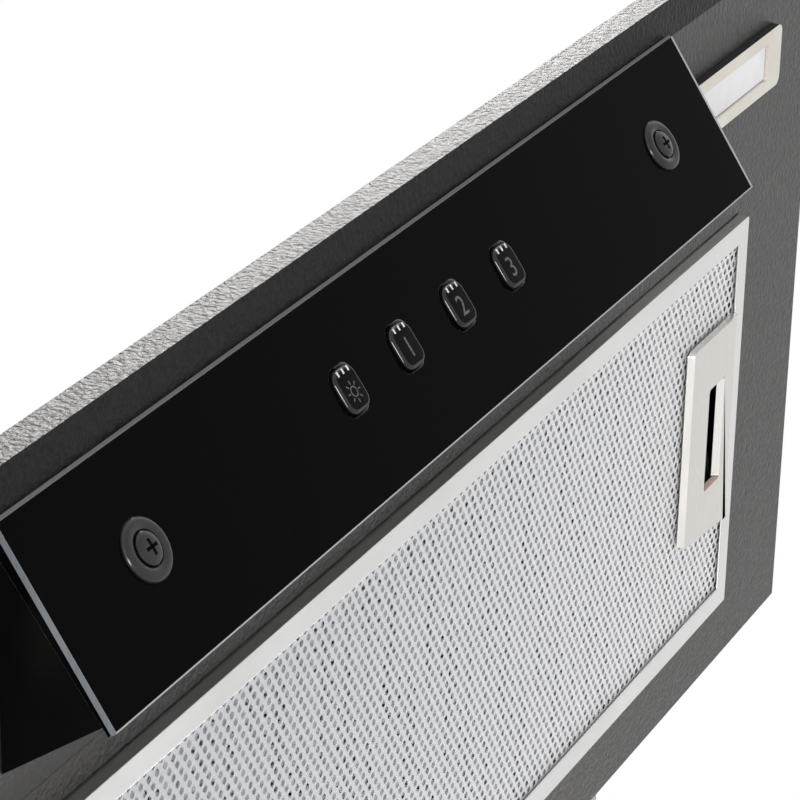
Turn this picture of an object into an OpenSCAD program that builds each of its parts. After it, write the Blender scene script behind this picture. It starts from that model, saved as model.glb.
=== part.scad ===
// Pull-out range hood: a fixed casing with a blower, and a thin tray that slides out under it.
// The tray carries the tilted control strip, two lamps and the swing-down grease filter.
// +X is to the right as seen from the front, the front is -Y, +Z is up.
// The origin is the centre of the four cabinet screw holes, on the casing's top face.

/* [Tray] */
// Width of the tray across the front
tray_w = 598; // [590:1:620]
// Depth of the tray from the front lip to the rear edge
tray_d = 245; // [240:1:260]
// Height of the front lip
lip_h = 8; // [7:0.5:10]
// Thickness of the tray's sheet
tray_sheet = 1; // [0.8:0.1:1.2]
// Depth of the folded return on top of the front lip
front_return = 12; // [10:1:14]
// Width of the folded return on top of each side lip
side_return = 8; // [5:1:9]
// Height of the tray cover above the underside
cover_h = 52; // [46:1:55]
// Width of the tray cover
cover_w = 562; // [558:1:566]
// Distance from the lip to where the cover becomes level
cover_rise = 110; // [90:1:125]
// Length of the opening on top of the cover, along the width
mouth_w = 500; // [440:5:520]
// Depth of the opening on top of the cover
mouth_d = 34; // [30:1:36]

/* [Casing] */
// Width of the fixed casing
casing_w = 596; // [590:1:600]
// Depth of the fixed casing
casing_d = 280; // [276:1:290]
// Height of the fixed casing
casing_h = 130; // [128:1:145]
// Thickness of the casing's sheet
casing_sheet = 1.2; // [1:0.1:1.5]
// Height from the tray's underside to the casing's underside
tray_drop = 60; // [58:1:70]
// Depth of the tray that stays under the casing when it is pulled out
tray_overlap = 40; // [38:1:44]
// How far the tray slides in
tray_travel = 180; // [150:5:180]
// Height of the base plate's folded edges
base_rim = 10; // [6:1:12]
// Distance between the cabinet screws along the width
cabinet_pitch_x = 530; // [500:5:540]
// Distance between the cabinet screws along the depth
cabinet_pitch_y = 200; // [160:5:220]
// Radius of a cabinet screw hole
cabinet_hole_r = 2.75; // [2.5:0.05:3.5]

/* [Runners] */
// Height of the runner rail
rail_h = 30; // [28:1:32]
// Depth of the runner rail across the width
rail_depth = 10.5; // [10:0.5:12]
// Thickness of the rail's steel
rail_t = 1.5; // [1.2:0.1:2]
// Height of the rail's folded lips
rail_lip = 4; // [3:0.5:5]
// Length of the rail
rail_len = 265; // [255:1:268]
// Thickness of the runner arm
arm_t = 2; // [1.5:0.1:2.5]
// Depth of the runner arm's upright
arm_d = 36; // [30:1:37]
// Length of the runner arm's tongue
tongue_len = 84; // [70:1:85]
// Length of each glide shoe
shoe_len = 24; // [16:1:30]

/* [Control strip] */
// Length of the gloss panel
panel_w = 348; // [330:1:350]
// Height of the gloss panel along its slope
panel_h = 47.6; // [46:0.2:50]
// Thickness of the gloss panel
panel_t = 2.5; // [2:0.1:3]
// Tilt of the panel from the tray's underside
panel_tilt = 36; // [34:1:38]
// Distance from the front lip to the panel's front edge
panel_y = 11.5; // [9:0.5:13]
// How far the panel overhangs its housing
panel_lap = 1.5; // [1:0.1:2.5]
// Wall of the control housing
housing_wall = 2; // [1.6:0.1:2.2]
// Distance from the middle to each panel screw
panel_screw_x = 138; // [120:1:150]
// Distance of the buttons and screws from the panel's rear edge
control_row = 25.2; // [23:0.2:26]

/* [Buttons] */
// Width of a button cap
button_w = 10; // [9:0.2:11]
// Height of a button cap along the slope
button_h = 12; // [11:0.2:12.6]
// Corner radius of a button cap
button_r = 3; // [2:0.1:4]
// Distance from one button to the next
button_pitch = 28.5; // [22:0.5:30]
// Place of the middle of the row of buttons
button_row_x = -4.25; // [-10:0.25:10]
// How far a button cap stands out of the panel
button_proud = 1.2; // [1.1:0.1:1.8]
// How far a button goes in
button_travel = 1; // [0.6:0.1:1]

/* [Lamps] */
// Length of a lamp bezel
lamp_w = 82.5; // [76:0.5:84]
// Depth of a lamp bezel
lamp_d = 19.5; // [18:0.5:21]
// Distance from the middle to a lamp's outer end
lamp_end_x = 263; // [260:0.5:270]
// Distance from the front lip to a lamp
lamp_y = 31.3; // [28:0.1:34]
// How far a lamp bezel stands out of the tray
lamp_proud = 2.6; // [2:0.1:3]
// Margin from the bezel's end to its window
lamp_end_margin = 11; // [8:0.5:12]
// Margin from the bezel's long side to its window
lamp_side_margin = 4; // [3.5:0.1:5]

/* [Grease filter] */
// Length of the filter
filter_w = 482; // [470:1:486]
// Distance from the filter to the tray's rear edge
filter_rear = 25.5; // [24:0.5:30]
// Thickness of the filter
filter_h = 9.5; // [9:0.1:11]
// How far the filter stands out of the tray
filter_proud = 4; // [3:0.1:4.5]
// Distance from the front lip to the filter
filter_y = 87; // [85:0.5:90]
// Width of the filter frame's flange
filter_flange = 7; // [6:0.5:8]
// Thickness of the filter frame's sheet
filter_sheet = 0.8; // [0.6:0.1:1]
// Thickness of a mesh sheet
mesh_t = 0.9; // [0.6:0.1:1]
// Pitch of the folds in the filter's inner layers
fold_pitch = 12; // [8:1:16]
// Angle that the filter swings down by
filter_swing = 60; // [40:1:80]

/* [Latch] */
// Length of the latch plate along the width of the hood
latch_w = 36.4; // [35:0.2:38]
// Depth of the latch plate
latch_d = 67; // [62:1:72]
// Distance from the filter's front edge to the latch plate
latch_y = 29; // [26:0.5:32]
// How far the latch plate stands out of the filter frame
latch_proud = 1.6; // [1:0.1:2]
// Length of the finger slot
finger_slot_d = 34.5; // [30:0.5:38]
// Width of the finger slot
finger_slot_w = 12.5; // [10:0.5:13]
// Travel of the latch
latch_travel = 5; // [5:0.5:6]

/* [Blower] */
// Outer radius of the impeller
impeller_r = 44; // [40:1:45]
// Depth of an impeller blade
blade_depth = 9; // [7:0.5:10]
// Length of the impeller
impeller_w = 80; // [60:1:82]
// Number of impeller blades
blade_count = 32; // [24:1:40]
// Width of the scroll
scroll_w = 92; // [90:1:96]
// Wall of the scroll
scroll_wall = 2; // [1.6:0.1:2.4]
// Scroll radius at the tongue
scroll_r_start = 49; // [48:0.5:50]
// Scroll radius where it meets the outlet
scroll_r_end = 72; // [68:0.5:74]
// Radius of the scroll's inlets
inlet_r = 37; // [34:0.5:38]
// Radius of the motor
motor_r = 30; // [26:0.5:32]
// Length of the motor
motor_len = 44; // [40:1:55]
// Radius of the motor shaft
shaft_r = 4; // [3:0.1:5]

/* [Duct outlet] */
// Outer radius of the duct collar
collar_r = 60; // [60:0.5:62]
// Height of the duct collar
collar_h = 28; // [26:1:40]
// Wall of the duct collar
collar_wall = 1; // [0.8:0.1:1.5]
// Thickness of the collar's flange
collar_flange_t = 1.5; // [1.2:0.1:2]
// Radius of the collar's flange
collar_flange_r = 70; // [69:0.5:74]
// Height of the flap pin above the collar's flange
flap_z = 14; // [12:0.5:15]
// Thickness of a flap
flap_t = 1.2; // [1:0.1:1.4]
// Radius of the flap pin
flap_pin_r = 1.5; // [1.2:0.1:1.7]

/* [Electrics] */
// Radius of the hole for the mains cord
cord_hole_r = 4.1; // [3.6:0.1:4.4]
// Place of the cord gland along the width
gland_x = 200; // [180:1:220]
// Place of the cord gland along the depth
gland_y = 105; // [100:1:106]
// Radius of the motor's capacitor
capacitor_r = 15; // [12:0.5:18]
// Length of the motor's capacitor
capacitor_len = 62; // [50:1:70]

/* [Hidden] */
$fn = 48;
gap = 0.3;
lamp_fit = 0.5;
eps = 0.01;

// Levels and places that follow from the sizes above
casing_bottom = -casing_h;
tray_z = casing_bottom - tray_drop;
tray_y = -casing_d / 2 + tray_overlap - tray_d;
base_top = casing_bottom + casing_sheet;
roof = -casing_sheet;
filter_d = tray_d - filter_y - filter_rear;

// A rectangle with round corners, made of squares and circles so that its arcs stay true
module round_rect(w, d, r) {
    square([w - 2 * r, d], center = true);
    square([w, d - 2 * r], center = true);
    for (x = [-1, 1])
        for (y = [-1, 1])
            translate([x * (w / 2 - r), y * (d / 2 - r)])
                circle(r);
}

// A frame of rectangular plan and a plain section, standing on z = 0
module ring_box(w, d, h, wall) {
    difference() {
        translate([-w / 2, -d / 2, 0])
            cube([w, d, h]);
        translate([-w / 2 + wall, -d / 2 + wall, -eps])
            cube([w - 2 * wall, d - 2 * wall, h + 2 * eps]);
    }
}

// Extrudes an outline of the Y-Z plane along X, centred on x = 0
module along_x(len) {
    translate([-len / 2, 0, 0])
        rotate([90, 0, 90])
            linear_extrude(len)
                children();
}

// The tray's own frame: y from the front lip, z from the underside
module at_tray() {
    translate([0, tray_y, tray_z])
        children();
}

// The panel's own frame: y down its slope from the front edge, z into the housing
module on_panel() {
    at_tray()
        translate([0, panel_y, -gap])
            rotate([-panel_tilt, 0, 0])
                children();
}

module both_sides() {
    children();
    mirror([1, 0, 0])
        children();
}

// ---------- fixed casing ----------

collar_bore_r = collar_r - collar_wall;
collar_screw_circle = (collar_r + collar_flange_r) / 2;
collar_screw_r = 1.5;
collar_screw_len = 7;
gland_r = 7;
fold_r = 3;

// The casing's four walls are one folded strip, and its roof is a flat sheet welded on top
module casing_walls() {
    color("dimgray")
    translate([0, 0, casing_bottom])
    difference() {
        linear_extrude(casing_h - casing_sheet)
            round_rect(casing_w, casing_d, fold_r);
        translate([0, 0, -1])
            linear_extrude(casing_h + 1)
                round_rect(casing_w - 2 * casing_sheet, casing_d - 2 * casing_sheet, fold_r - casing_sheet);
    }
}

module casing_roof() {
    color("dimgray")
    difference() {
        translate([0, 0, roof])
            linear_extrude(casing_sheet)
                round_rect(casing_w, casing_d, fold_r);
        translate([0, 0, roof - 1])
            cylinder(r = collar_bore_r, h = casing_sheet + 2);
        for (a = [45:90:315])
            rotate(a)
                translate([collar_screw_circle, 0, roof - 1])
                    cylinder(r = collar_screw_r + 0.2, h = casing_sheet + 2);
        translate([gland_x, gland_y, roof - 1])
            cylinder(r = gland_r + gap, h = casing_sheet + 2);
        for (x = [-1, 1])
            for (y = [-1, 1])
                translate([x * cabinet_pitch_x / 2, y * cabinet_pitch_y / 2, roof - 1])
                    cylinder(r = cabinet_hole_r, h = casing_sheet + 2);
    }
}

// The base plate closes the casing's underside. Its front slot takes the air from the tray's mouth,
// and the two long side slots let the runner arms pass.
base_w = casing_w - 2 * casing_sheet - 2 * gap;
base_d = casing_d - 2 * casing_sheet - 2 * gap;
intake_y0 = -casing_d / 2 + 6;
intake_y1 = -casing_d / 2 + tray_overlap;
arm_x = cover_w / 2;
arm_y = -casing_d / 2 + casing_sheet + gap;
arm_slot_clear = 1;
bead_r = 4;
bead_len = 90;
bead_x = [-190, -90, 90, 190];
bead_y = -60;

module base_plate() {
    color("silver")
    difference() {
        union() {
            translate([0, 0, casing_bottom])
                linear_extrude(casing_sheet)
                    round_rect(base_w, base_d, 2);
            for (y = [-base_d / 2, base_d / 2 - casing_sheet])
                translate([-mouth_w / 2 - 10, y, casing_bottom])
                    cube([mouth_w + 20, casing_sheet, base_rim]);
            for (x = bead_x)
                translate([x, bead_y, base_top])
                    rotate([-90, 0, 0])
                        cylinder(r = bead_r, h = bead_len);
        }
        for (x = bead_x)
            translate([x, bead_y + casing_sheet, base_top])
                rotate([-90, 0, 0])
                    cylinder(r = bead_r - casing_sheet, h = bead_len - 2 * casing_sheet);
        translate([-base_w / 2, -base_d / 2, casing_bottom - 2 * bead_r])
            cube([base_w, base_d, 2 * bead_r]);
        translate([-mouth_w / 2, intake_y0, casing_bottom - 1])
            cube([mouth_w, intake_y1 - intake_y0, 4]);
        for (side = [-1, 1])
            translate([side * (arm_x + arm_t / 2) - arm_t / 2 - arm_slot_clear, -casing_d / 2,
                       casing_bottom - 1])
                cube([arm_t + 2 * arm_slot_clear, arm_d + tray_travel + 6, 4]);
    }
}

// ---------- runners ----------

rail_x = casing_w / 2 - casing_sheet;
rail_z = base_top + 3.3;
rail_y = -rail_len / 2;
shoe_head_t = rail_depth - 2 * rail_t - 2 * gap;
shoe_head_h = rail_h - 2 * rail_t - 2 * gap;
shoe_neck_h = rail_h - 2 * rail_t - 2 * rail_lip - 2 * gap;

module rail() {
    color("lightgray")
    translate([rail_x - rail_depth, rail_y, rail_z])
    difference() {
        cube([rail_depth, rail_len, rail_h]);
        translate([rail_t, -1, rail_t])
            cube([rail_depth - 2 * rail_t, rail_len + 2, rail_h - 2 * rail_t]);
        translate([-1, -1, rail_t + rail_lip])
            cube([rail_t + 2, rail_len + 2, rail_h - 2 * rail_t - 2 * rail_lip]);
    }
}

module rail_right() {
    rail();
}

module rail_left() {
    mirror([1, 0, 0])
        rail();
}

// A runner arm is a bent steel strip: an upright on the tray's side and a tongue back along the rail
tongue_h = 16;
tongue_z = rail_z + (rail_h - tongue_h) / 2;
arm_screw_r = 1.5;
arm_screw_len = 6;
arm_screw_head_r = 2.8;
arm_screw_head_h = 1.6;
arm_screw_low = 18;
arm_screw_high = 40;
arm_screw_z = [tray_z + arm_screw_low, tray_z + arm_screw_high];
arm_foot = 7;

module runner() {
    color("gainsboro")
    difference() {
        union() {
            translate([arm_x, arm_y, tray_z + tray_sheet])
                cube([arm_t, arm_d, tongue_z + tongue_h - tray_z - tray_sheet]);
            translate([arm_x, arm_y, tongue_z])
                cube([arm_t, tongue_len, tongue_h]);
            translate([arm_x, arm_y, tray_z + tray_sheet])
                cube([arm_foot, arm_d, arm_t]);
        }
        for (z = arm_screw_z)
            translate([arm_x - 1, arm_y + arm_d / 2, z])
                rotate([0, 90, 0])
                    cylinder(r = arm_screw_r + 0.1, h = arm_t + 2);
    }
}

module runner_right() {
    runner();
}

module runner_left() {
    mirror([1, 0, 0])
        runner();
}

module glide_shoes() {
    color("ivory")
    for (y = [arm_y + 8, arm_y + tongue_len - shoe_len - 1])
        translate([0, y, rail_z + rail_h / 2]) {
            translate([rail_x - rail_t - gap - shoe_head_t, 0, -shoe_head_h / 2])
                cube([shoe_head_t, shoe_len, shoe_head_h]);
            translate([arm_x + arm_t, 0, -shoe_neck_h / 2])
                cube([rail_x - rail_t - gap - shoe_head_t - arm_x - arm_t + 1, shoe_len, shoe_neck_h]);
        }
}

module glide_shoes_right() {
    glide_shoes();
}

module glide_shoes_left() {
    mirror([1, 0, 0])
        glide_shoes();
}

module runner_screws() {
    color("darkgray")
    both_sides()
    for (z = arm_screw_z)
        translate([arm_x, arm_y + arm_d / 2, z])
            rotate([0, 90, 0]) {
                translate([0, 0, -arm_screw_len])
                    cylinder(r = arm_screw_r, h = arm_screw_len + arm_t);
                translate([0, 0, arm_t])
                    cylinder(r = arm_screw_head_r, h = arm_screw_head_h);
            }
}

// ---------- blower ----------

scroll_y = -(scroll_r_end - 2) / 2 - 1;
scroll_z = roof - 2 - scroll_r_start - 5;
scroll_outlet_y0 = scroll_y + 2;
scroll_outlet_y1 = scroll_y + scroll_r_end;
tongue_angle = 82;
spiral_steps = 40;
scroll_flange = 6;

// Radius of the scroll at an angle measured back round the front and the bottom from the tongue
function spiral_r(u) = scroll_r_start + (scroll_r_end - scroll_r_start) * u;
function spiral_point(i, extra) =
    let (u = i / spiral_steps, a = tongue_angle + u * (360 - tongue_angle))
    [(spiral_r(u) + extra) * cos(a), (spiral_r(u) + extra) * sin(a)];

// The outline of the scroll in the Y-Z plane about the impeller's axis, grown by a wall
module scroll_outline(extra) {
    top = roof - scroll_z;
    polygon(concat([for (i = [0:spiral_steps]) spiral_point(i, extra)],
        [[scroll_r_end + extra, top + eps], [2 - extra, top + eps]]));
}

module scroll_half() {
    half = scroll_w / 2;
    top = roof - scroll_z;
    color("darkslategray")
    translate([0, scroll_y, scroll_z])
    difference() {
        union() {
            intersection() {
                rotate([90, 0, 90])
                    linear_extrude(half)
                        scroll_outline(scroll_wall);
                translate([-1, -casing_d / 2, -casing_h])
                    cube([half + 2, casing_d, casing_h + top]);
            }
            translate([0, scroll_outlet_y0 - scroll_y - scroll_flange, top - scroll_wall])
                cube([half + scroll_flange, scroll_outlet_y1 - scroll_outlet_y0 + 2 * scroll_flange,
                      scroll_wall]);
            translate([half - scroll_wall, 0, 0])
                rotate([0, 90, 0])
                    cylinder(r = inlet_r + 2, h = scroll_wall + 2);
        }
        translate([-eps, 0, 0])
            rotate([90, 0, 90])
                linear_extrude(half - scroll_wall + eps)
                    scroll_outline(0);
        rotate([0, 90, 0])
            cylinder(r = inlet_r, h = half + 10);
    }
}

module scroll_right() {
    scroll_half();
}

module scroll_left() {
    mirror([1, 0, 0])
        scroll_half();
}

// The impeller has one ring of forward-curved blades on both sides of its middle disc
blade_t = 1;
blade_arc_r = 8;
blade_steps = 6;
ring_t = 2;
hub_r = 10;
hub_len = 26;

// Middle line of a blade: an arc from the inner edge out to the rim, leaning forward
function blade_mid(i) =
    let (u = i / blade_steps, r = impeller_r - blade_depth + u * blade_depth, a = 14 * u * u)
    [r * cos(a), r * sin(a), a + 28 * u];

function blade_side(i, s) =
    let (m = blade_mid(i))
    [m[0] - s * sin(m[2]) * blade_t / 2, m[1] + s * cos(m[2]) * blade_t / 2];

module blade_outline() {
    polygon(concat([for (i = [0:blade_steps]) blade_side(i, -1)],
        [for (i = [blade_steps:-1:0]) blade_side(i, 1)]));
}

module impeller() {
    color("gray")
    translate([0, scroll_y, scroll_z])
    rotate([90, 0, 90])
    difference() {
        union() {
            translate([0, 0, -impeller_w / 2])
                linear_extrude(impeller_w)
                    for (i = [0:blade_count - 1])
                        rotate(i * 360 / blade_count)
                            blade_outline();
            translate([0, 0, -ring_t / 2])
                cylinder(r = impeller_r - 1, h = ring_t);
            for (z = [-impeller_w / 2, impeller_w / 2 - ring_t])
                translate([0, 0, z])
                    difference() {
                        cylinder(r = impeller_r + 0.5, h = ring_t);
                        translate([0, 0, -1])
                            cylinder(r = impeller_r - 4, h = ring_t + 2);
                    }
            translate([0, 0, -hub_len / 2])
                cylinder(r = hub_r, h = hub_len);
        }
        translate([0, 0, -impeller_w])
            cylinder(r = shaft_r, h = 2 * impeller_w);
    }
}

bracket_t = 2;
bracket_reach = 18;
bracket_arm_w = 8;
bracket_arm_t = 3;
bracket_seat_w = 12;
motor_x = scroll_w / 2 + bracket_reach;
shaft_in_motor = 30;
bearing_gap = 0.05;
bracket_ring_r = inlet_r + 9;
arm_ring_r = inlet_r + 6;

module motor_shaft() {
    color("lightgray")
    translate([-hub_len / 2 - 4, scroll_y, scroll_z])
        rotate([0, 90, 0])
            cylinder(r = shaft_r, h = hub_len / 2 + 4 + motor_x + shaft_in_motor - 0.5);
}

module motor() {
    color("gray")
    translate([motor_x, scroll_y, scroll_z])
    rotate([0, 90, 0])
    difference() {
        union() {
            cylinder(r = motor_r - 6, h = motor_len);
            translate([0, 0, 4])
                cylinder(r = motor_r, h = motor_len - 8);
            for (a = [0:60:300])
                rotate(a)
                    translate([motor_r - 1, -2, 6])
                        cube([3, 4, motor_len - 12]);
        }
        translate([0, 0, -1])
            cylinder(r = shaft_r + bearing_gap, h = shaft_in_motor + 1);
    }
}

// Three arms carry the motor clear of the inlet, so that air passes between them
module motor_bracket() {
    color("silver")
    translate([scroll_w / 2, scroll_y, scroll_z])
    rotate([0, 90, 0]) {
        difference() {
            cylinder(r = bracket_ring_r, h = bracket_t);
            translate([0, 0, -1])
                cylinder(r = inlet_r + 2 + gap, h = bracket_t + 2);
        }
        for (a = [30:120:270])
            rotate(a) {
                translate([arm_ring_r - bracket_arm_t + 1, -bracket_arm_w / 2, bracket_t])
                    cube([bracket_arm_t, bracket_arm_w, bracket_reach - bracket_t]);
                translate([motor_r - bracket_seat_w, -bracket_arm_w / 2, bracket_reach - bracket_t])
                    cube([arm_ring_r - motor_r + bracket_seat_w, bracket_arm_w, bracket_t]);
            }
        translate([0, 0, bracket_reach - bracket_t])
            difference() {
                cylinder(r = motor_r - bracket_seat_w + 4, h = bracket_t);
                translate([0, 0, -1])
                    cylinder(r = hub_r + 2, h = bracket_t + 2);
            }
    }
}

// ---------- electrics ----------

capacitor_x = -140;
capacitor_y = 70;
capacitor_z = base_top + capacitor_r + 3;
clip_w = 24;

module run_capacitor() {
    color("gainsboro")
    translate([capacitor_x, capacitor_y, capacitor_z])
    rotate([0, 90, 0])
    union() {
        cylinder(r = capacitor_r, h = capacitor_len);
        translate([0, 0, -6])
            cylinder(r = 4, h = 6);
    }
}

// A moulded saddle holds the capacitor round its lower half
module capacitor_clip() {
    color("dimgray")
    difference() {
        translate([capacitor_x + 20, capacitor_y - capacitor_r - 3, base_top])
            cube([clip_w, 2 * capacitor_r + 6, capacitor_r + 6]);
        translate([capacitor_x + 10, capacitor_y, capacitor_z])
            rotate([0, 90, 0])
                cylinder(r = capacitor_r, h = clip_w + 20);
    }
}

box_w = 70;
box_d = 50;
box_h = 30;
box_wall = 2;

module terminal_box() {
    color("black")
    translate([gland_x, gland_y, roof - box_h])
    difference() {
        translate([-box_w / 2, -box_d / 2, 0])
            cube([box_w, box_d, box_h]);
        translate([-box_w / 2 + box_wall, -box_d / 2 + box_wall, -1])
            cube([box_w - 2 * box_wall, box_d - 2 * box_wall, box_h - box_wall + 1]);
        cylinder(r = gland_r + gap, h = box_h + 1);
    }
}

module terminal_lid() {
    color("black")
    translate([gland_x, gland_y, roof - box_h]) {
        translate([-box_w / 2, -box_d / 2, -box_wall])
            cube([box_w, box_d, box_wall]);
        ring_box(box_w - 2 * box_wall - 2 * gap, box_d - 2 * box_wall - 2 * gap, 3, box_wall);
    }
}

gland_above = 9;
gland_below = 8;

module cord_gland() {
    color("black")
    translate([gland_x, gland_y, 0])
    difference() {
        union() {
            translate([0, 0, -gland_below])
                cylinder(r = gland_r, h = gland_below + gland_above);
            cylinder(r = gland_r + 3, h = 3);
        }
        translate([0, 0, -gland_below - 1])
            cylinder(r = cord_hole_r, h = gland_below + gland_above + 2);
    }
}

// The switch that starts the hood when the tray is pulled out
module tray_switch() {
    color("black")
    translate([arm_x - arm_slot_clear - 16, -30, base_top]) {
        cube([10, 20, 16]);
        translate([10, 2, 10])
            cube([4, 12, 0.8]);
    }
}

// ---------- duct outlet ----------

flap_r = collar_bore_r - 1.5;
flap_knuckle_r = 2.8;
flap_edge = 3.2;
flap_bore_gap = 0.05;
flap_boss = 5;
front_knuckles = [[-48, -30], [8, 24]];
rear_knuckles = [[-24, -8], [30, 48]];

// The collar's own frame: z from the top face of its flange
module on_flange() {
    translate([0, 0, collar_flange_t])
        children();
}

module duct_collar() {
    color("black")
    on_flange()
    difference() {
        union() {
            rotate_extrude()
                polygon([[collar_bore_r, -collar_flange_t], [collar_flange_r, -collar_flange_t],
                    [collar_flange_r, 0], [collar_r, 0], [collar_r, collar_h], [collar_bore_r, collar_h],
                    [collar_bore_r, flap_z - flap_t / 2 - gap],
                    [collar_bore_r - 2.5, flap_z - flap_t / 2 - gap],
                    [collar_bore_r - 2.5, flap_z - flap_t / 2 - gap - 1.2],
                    [collar_bore_r, flap_z - flap_t / 2 - gap - 3.5]]);
            for (side = [-1, 1])
                translate([side * (collar_bore_r + 0.5), 0, flap_z])
                    rotate([0, -side * 90, 0])
                        cylinder(r = flap_knuckle_r, h = flap_boss);
        }
        translate([-collar_bore_r - collar_wall / 2, 0, flap_z])
            rotate([0, 90, 0])
                cylinder(r = flap_pin_r + 0.02, h = 2 * collar_bore_r + collar_wall);
        for (a = [45:90:315])
            rotate(a)
                translate([collar_screw_circle, 0, -collar_flange_t - 1])
                    cylinder(r = collar_screw_r + 0.2, h = collar_flange_t + 2);
    }
}

module collar_screws() {
    color("silver")
    on_flange()
    for (a = [45:90:315])
        rotate(a)
            translate([collar_screw_circle, 0, 0]) {
                cylinder(r = 2.9, h = 1.8);
                translate([0, 0, -collar_screw_len])
                    cylinder(r = collar_screw_r, h = collar_screw_len + eps);
            }
}

module flap_pin() {
    color("silver")
    on_flange()
    translate([-collar_bore_r + gap, 0, flap_z])
        rotate([0, 90, 0])
            cylinder(r = flap_pin_r, h = 2 * collar_bore_r - 2 * gap);
}

// Half a disc with two knuckles on the pin; dir is -1 for the front half and 1 for the rear half
module flap(dir, knuckles) {
    color("dimgray")
    on_flange()
    translate([0, 0, flap_z])
    difference() {
        union() {
            intersection() {
                translate([0, 0, -flap_t / 2])
                    cylinder(r = flap_r, h = flap_t);
                translate([-collar_r, dir > 0 ? flap_edge : -flap_edge - collar_r, -5])
                    cube([2 * collar_r, collar_r, 10]);
            }
            for (k = knuckles) {
                translate([k[0], 0, 0])
                    rotate([0, 90, 0])
                        cylinder(r = flap_knuckle_r, h = k[1] - k[0]);
                translate([k[0], dir > 0 ? 0 : -flap_edge - 1, -flap_t / 2])
                    cube([k[1] - k[0], flap_edge + 1, flap_t]);
            }
        }
        translate([-collar_r, 0, 0])
            rotate([0, 90, 0])
                cylinder(r = flap_pin_r + flap_bore_gap, h = 2 * collar_r);
    }
}

module flap_front() {
    flap(-1, front_knuckles);
}

module flap_rear() {
    flap(1, rear_knuckles);
}

// ---------- tray ----------

hinge_gap = 1.2;
filter_side_gap = 0.6;
lamp_shaft_w = lamp_w - 6;
lamp_shaft_d = lamp_d - 4;
lamp_x = lamp_end_x - lamp_w / 2;
lamp_mid_y = lamp_y + lamp_d / 2;
wire_hole_r = 8;
wire_hole_x = 100;

// The tray pan is one folded sheet: the underside, four lips and the returns on the front and sides
module tray_pan() {
    color([0.12, 0.12, 0.12])
    at_tray()
    difference() {
        translate([-tray_w / 2, 0, 0])
            cube([tray_w, tray_d, lip_h]);
        translate([-tray_w / 2 + tray_sheet, tray_sheet, tray_sheet])
            cube([tray_w - 2 * tray_sheet, tray_d - 2 * tray_sheet, lip_h - 2 * tray_sheet]);
        translate([-tray_w / 2 + side_return + tray_sheet, front_return, lip_h - 2 * tray_sheet])
            cube([tray_w - 2 * side_return - 2 * tray_sheet, tray_d - front_return - tray_sheet,
                  3 * tray_sheet]);
        translate([-filter_w / 2 - hinge_gap, filter_y - filter_side_gap, -1])
            cube([filter_w + hinge_gap + filter_side_gap, filter_d + 2 * filter_side_gap, tray_sheet + 2]);
        for (side = [-1, 1])
            translate([side * lamp_x - lamp_shaft_w / 2 - lamp_fit,
                       lamp_mid_y - lamp_shaft_d / 2 - lamp_fit, -1])
                cube([lamp_shaft_w + 2 * lamp_fit, lamp_shaft_d + 2 * lamp_fit, tray_sheet + 2]);
        translate([wire_hole_x, panel_y + 32, -1])
            cylinder(r = wire_hole_r, h = tray_sheet + 2);
    }
}

// The cover swells up from the thin front lip in one smooth curve, then runs level to the mouth
cover_steps = 16;
cover_y0 = front_return + 2;
cover_z0 = lip_h - tray_sheet;
cover_rear = tray_d - tray_sheet - gap;
mouth_y1 = tray_d - 4;
mouth_y0 = mouth_y1 - mouth_d;

function cover_curve(drop) = [for (i = [0:cover_steps])
    let (u = i / cover_steps)
    [cover_y0 + (cover_rise - cover_y0) * u,
     cover_z0 + (cover_h - cover_z0) * (1 - cos(180 * u)) / 2 - drop]];

module tray_cover() {
    color([0.15, 0.15, 0.15])
    at_tray()
    difference() {
        along_x(cover_w)
            polygon(concat([[tray_sheet + gap, tray_sheet], [tray_sheet + gap, cover_z0]], cover_curve(0),
                [[cover_rear, cover_h], [cover_rear, tray_sheet]]));
        along_x(cover_w - 2 * tray_sheet)
            polygon(concat([[-1, -1], [-1, cover_z0 - tray_sheet]], cover_curve(tray_sheet),
                [[cover_rear - tray_sheet, cover_h - tray_sheet], [cover_rear - tray_sheet, -1]]));
        translate([-mouth_w / 2, mouth_y0, cover_h - 5])
            cube([mouth_w, mouth_d, 10]);
        for (z = arm_screw_z)
            translate([-cover_w, arm_y - tray_y + arm_d / 2, z - tray_z])
                rotate([0, 90, 0])
                    cylinder(r = arm_screw_r + 0.1, h = 2 * cover_w);
    }
}

// An angle strip inside the tray stops the filter at its closed place
ledge_reach = 4;
ledge_len = 440;
filter_top = filter_h - filter_proud;

module filter_ledge() {
    translate([-ledge_len / 2, 0, 0]) {
        translate([0, -filter_side_gap - tray_sheet, tray_sheet])
            cube([ledge_len, tray_sheet, filter_top + gap]);
        translate([0, -filter_side_gap - tray_sheet, filter_top + gap])
            cube([ledge_len, filter_side_gap + tray_sheet + ledge_reach, tray_sheet]);
    }
}

module filter_ledge_front() {
    color("silver")
    at_tray()
        translate([0, filter_y, 0])
            filter_ledge();
}

module filter_ledge_rear() {
    color("silver")
    at_tray()
        translate([0, filter_y + filter_d, 0])
            mirror([0, 1, 0])
                filter_ledge();
}

// ---------- control strip ----------

screw_row = panel_h - control_row;
screw_shank_r = 1.9;
screw_head_r = 4.15;
boss_r = 4;
boss_len = 8;
housing_w = panel_w - 2 * panel_lap;
housing_y1 = panel_h - panel_lap;
button_gap = 0.3;
button_names = 4;
board_z = panel_t + housing_wall + 8;
board_y = 19.3;
board_d = 16.5;
board_w = 132;
board_t = 1.6;
post_y = board_y + board_d - 4;

// Depth into the housing at which a line straight in from the panel meets the tray's underside
function pan_depth(y) = (gap + y * sin(panel_tilt)) / cos(panel_tilt);
function button_x(i) = button_row_x + (i - (button_names - 1) / 2) * button_pitch;

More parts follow.
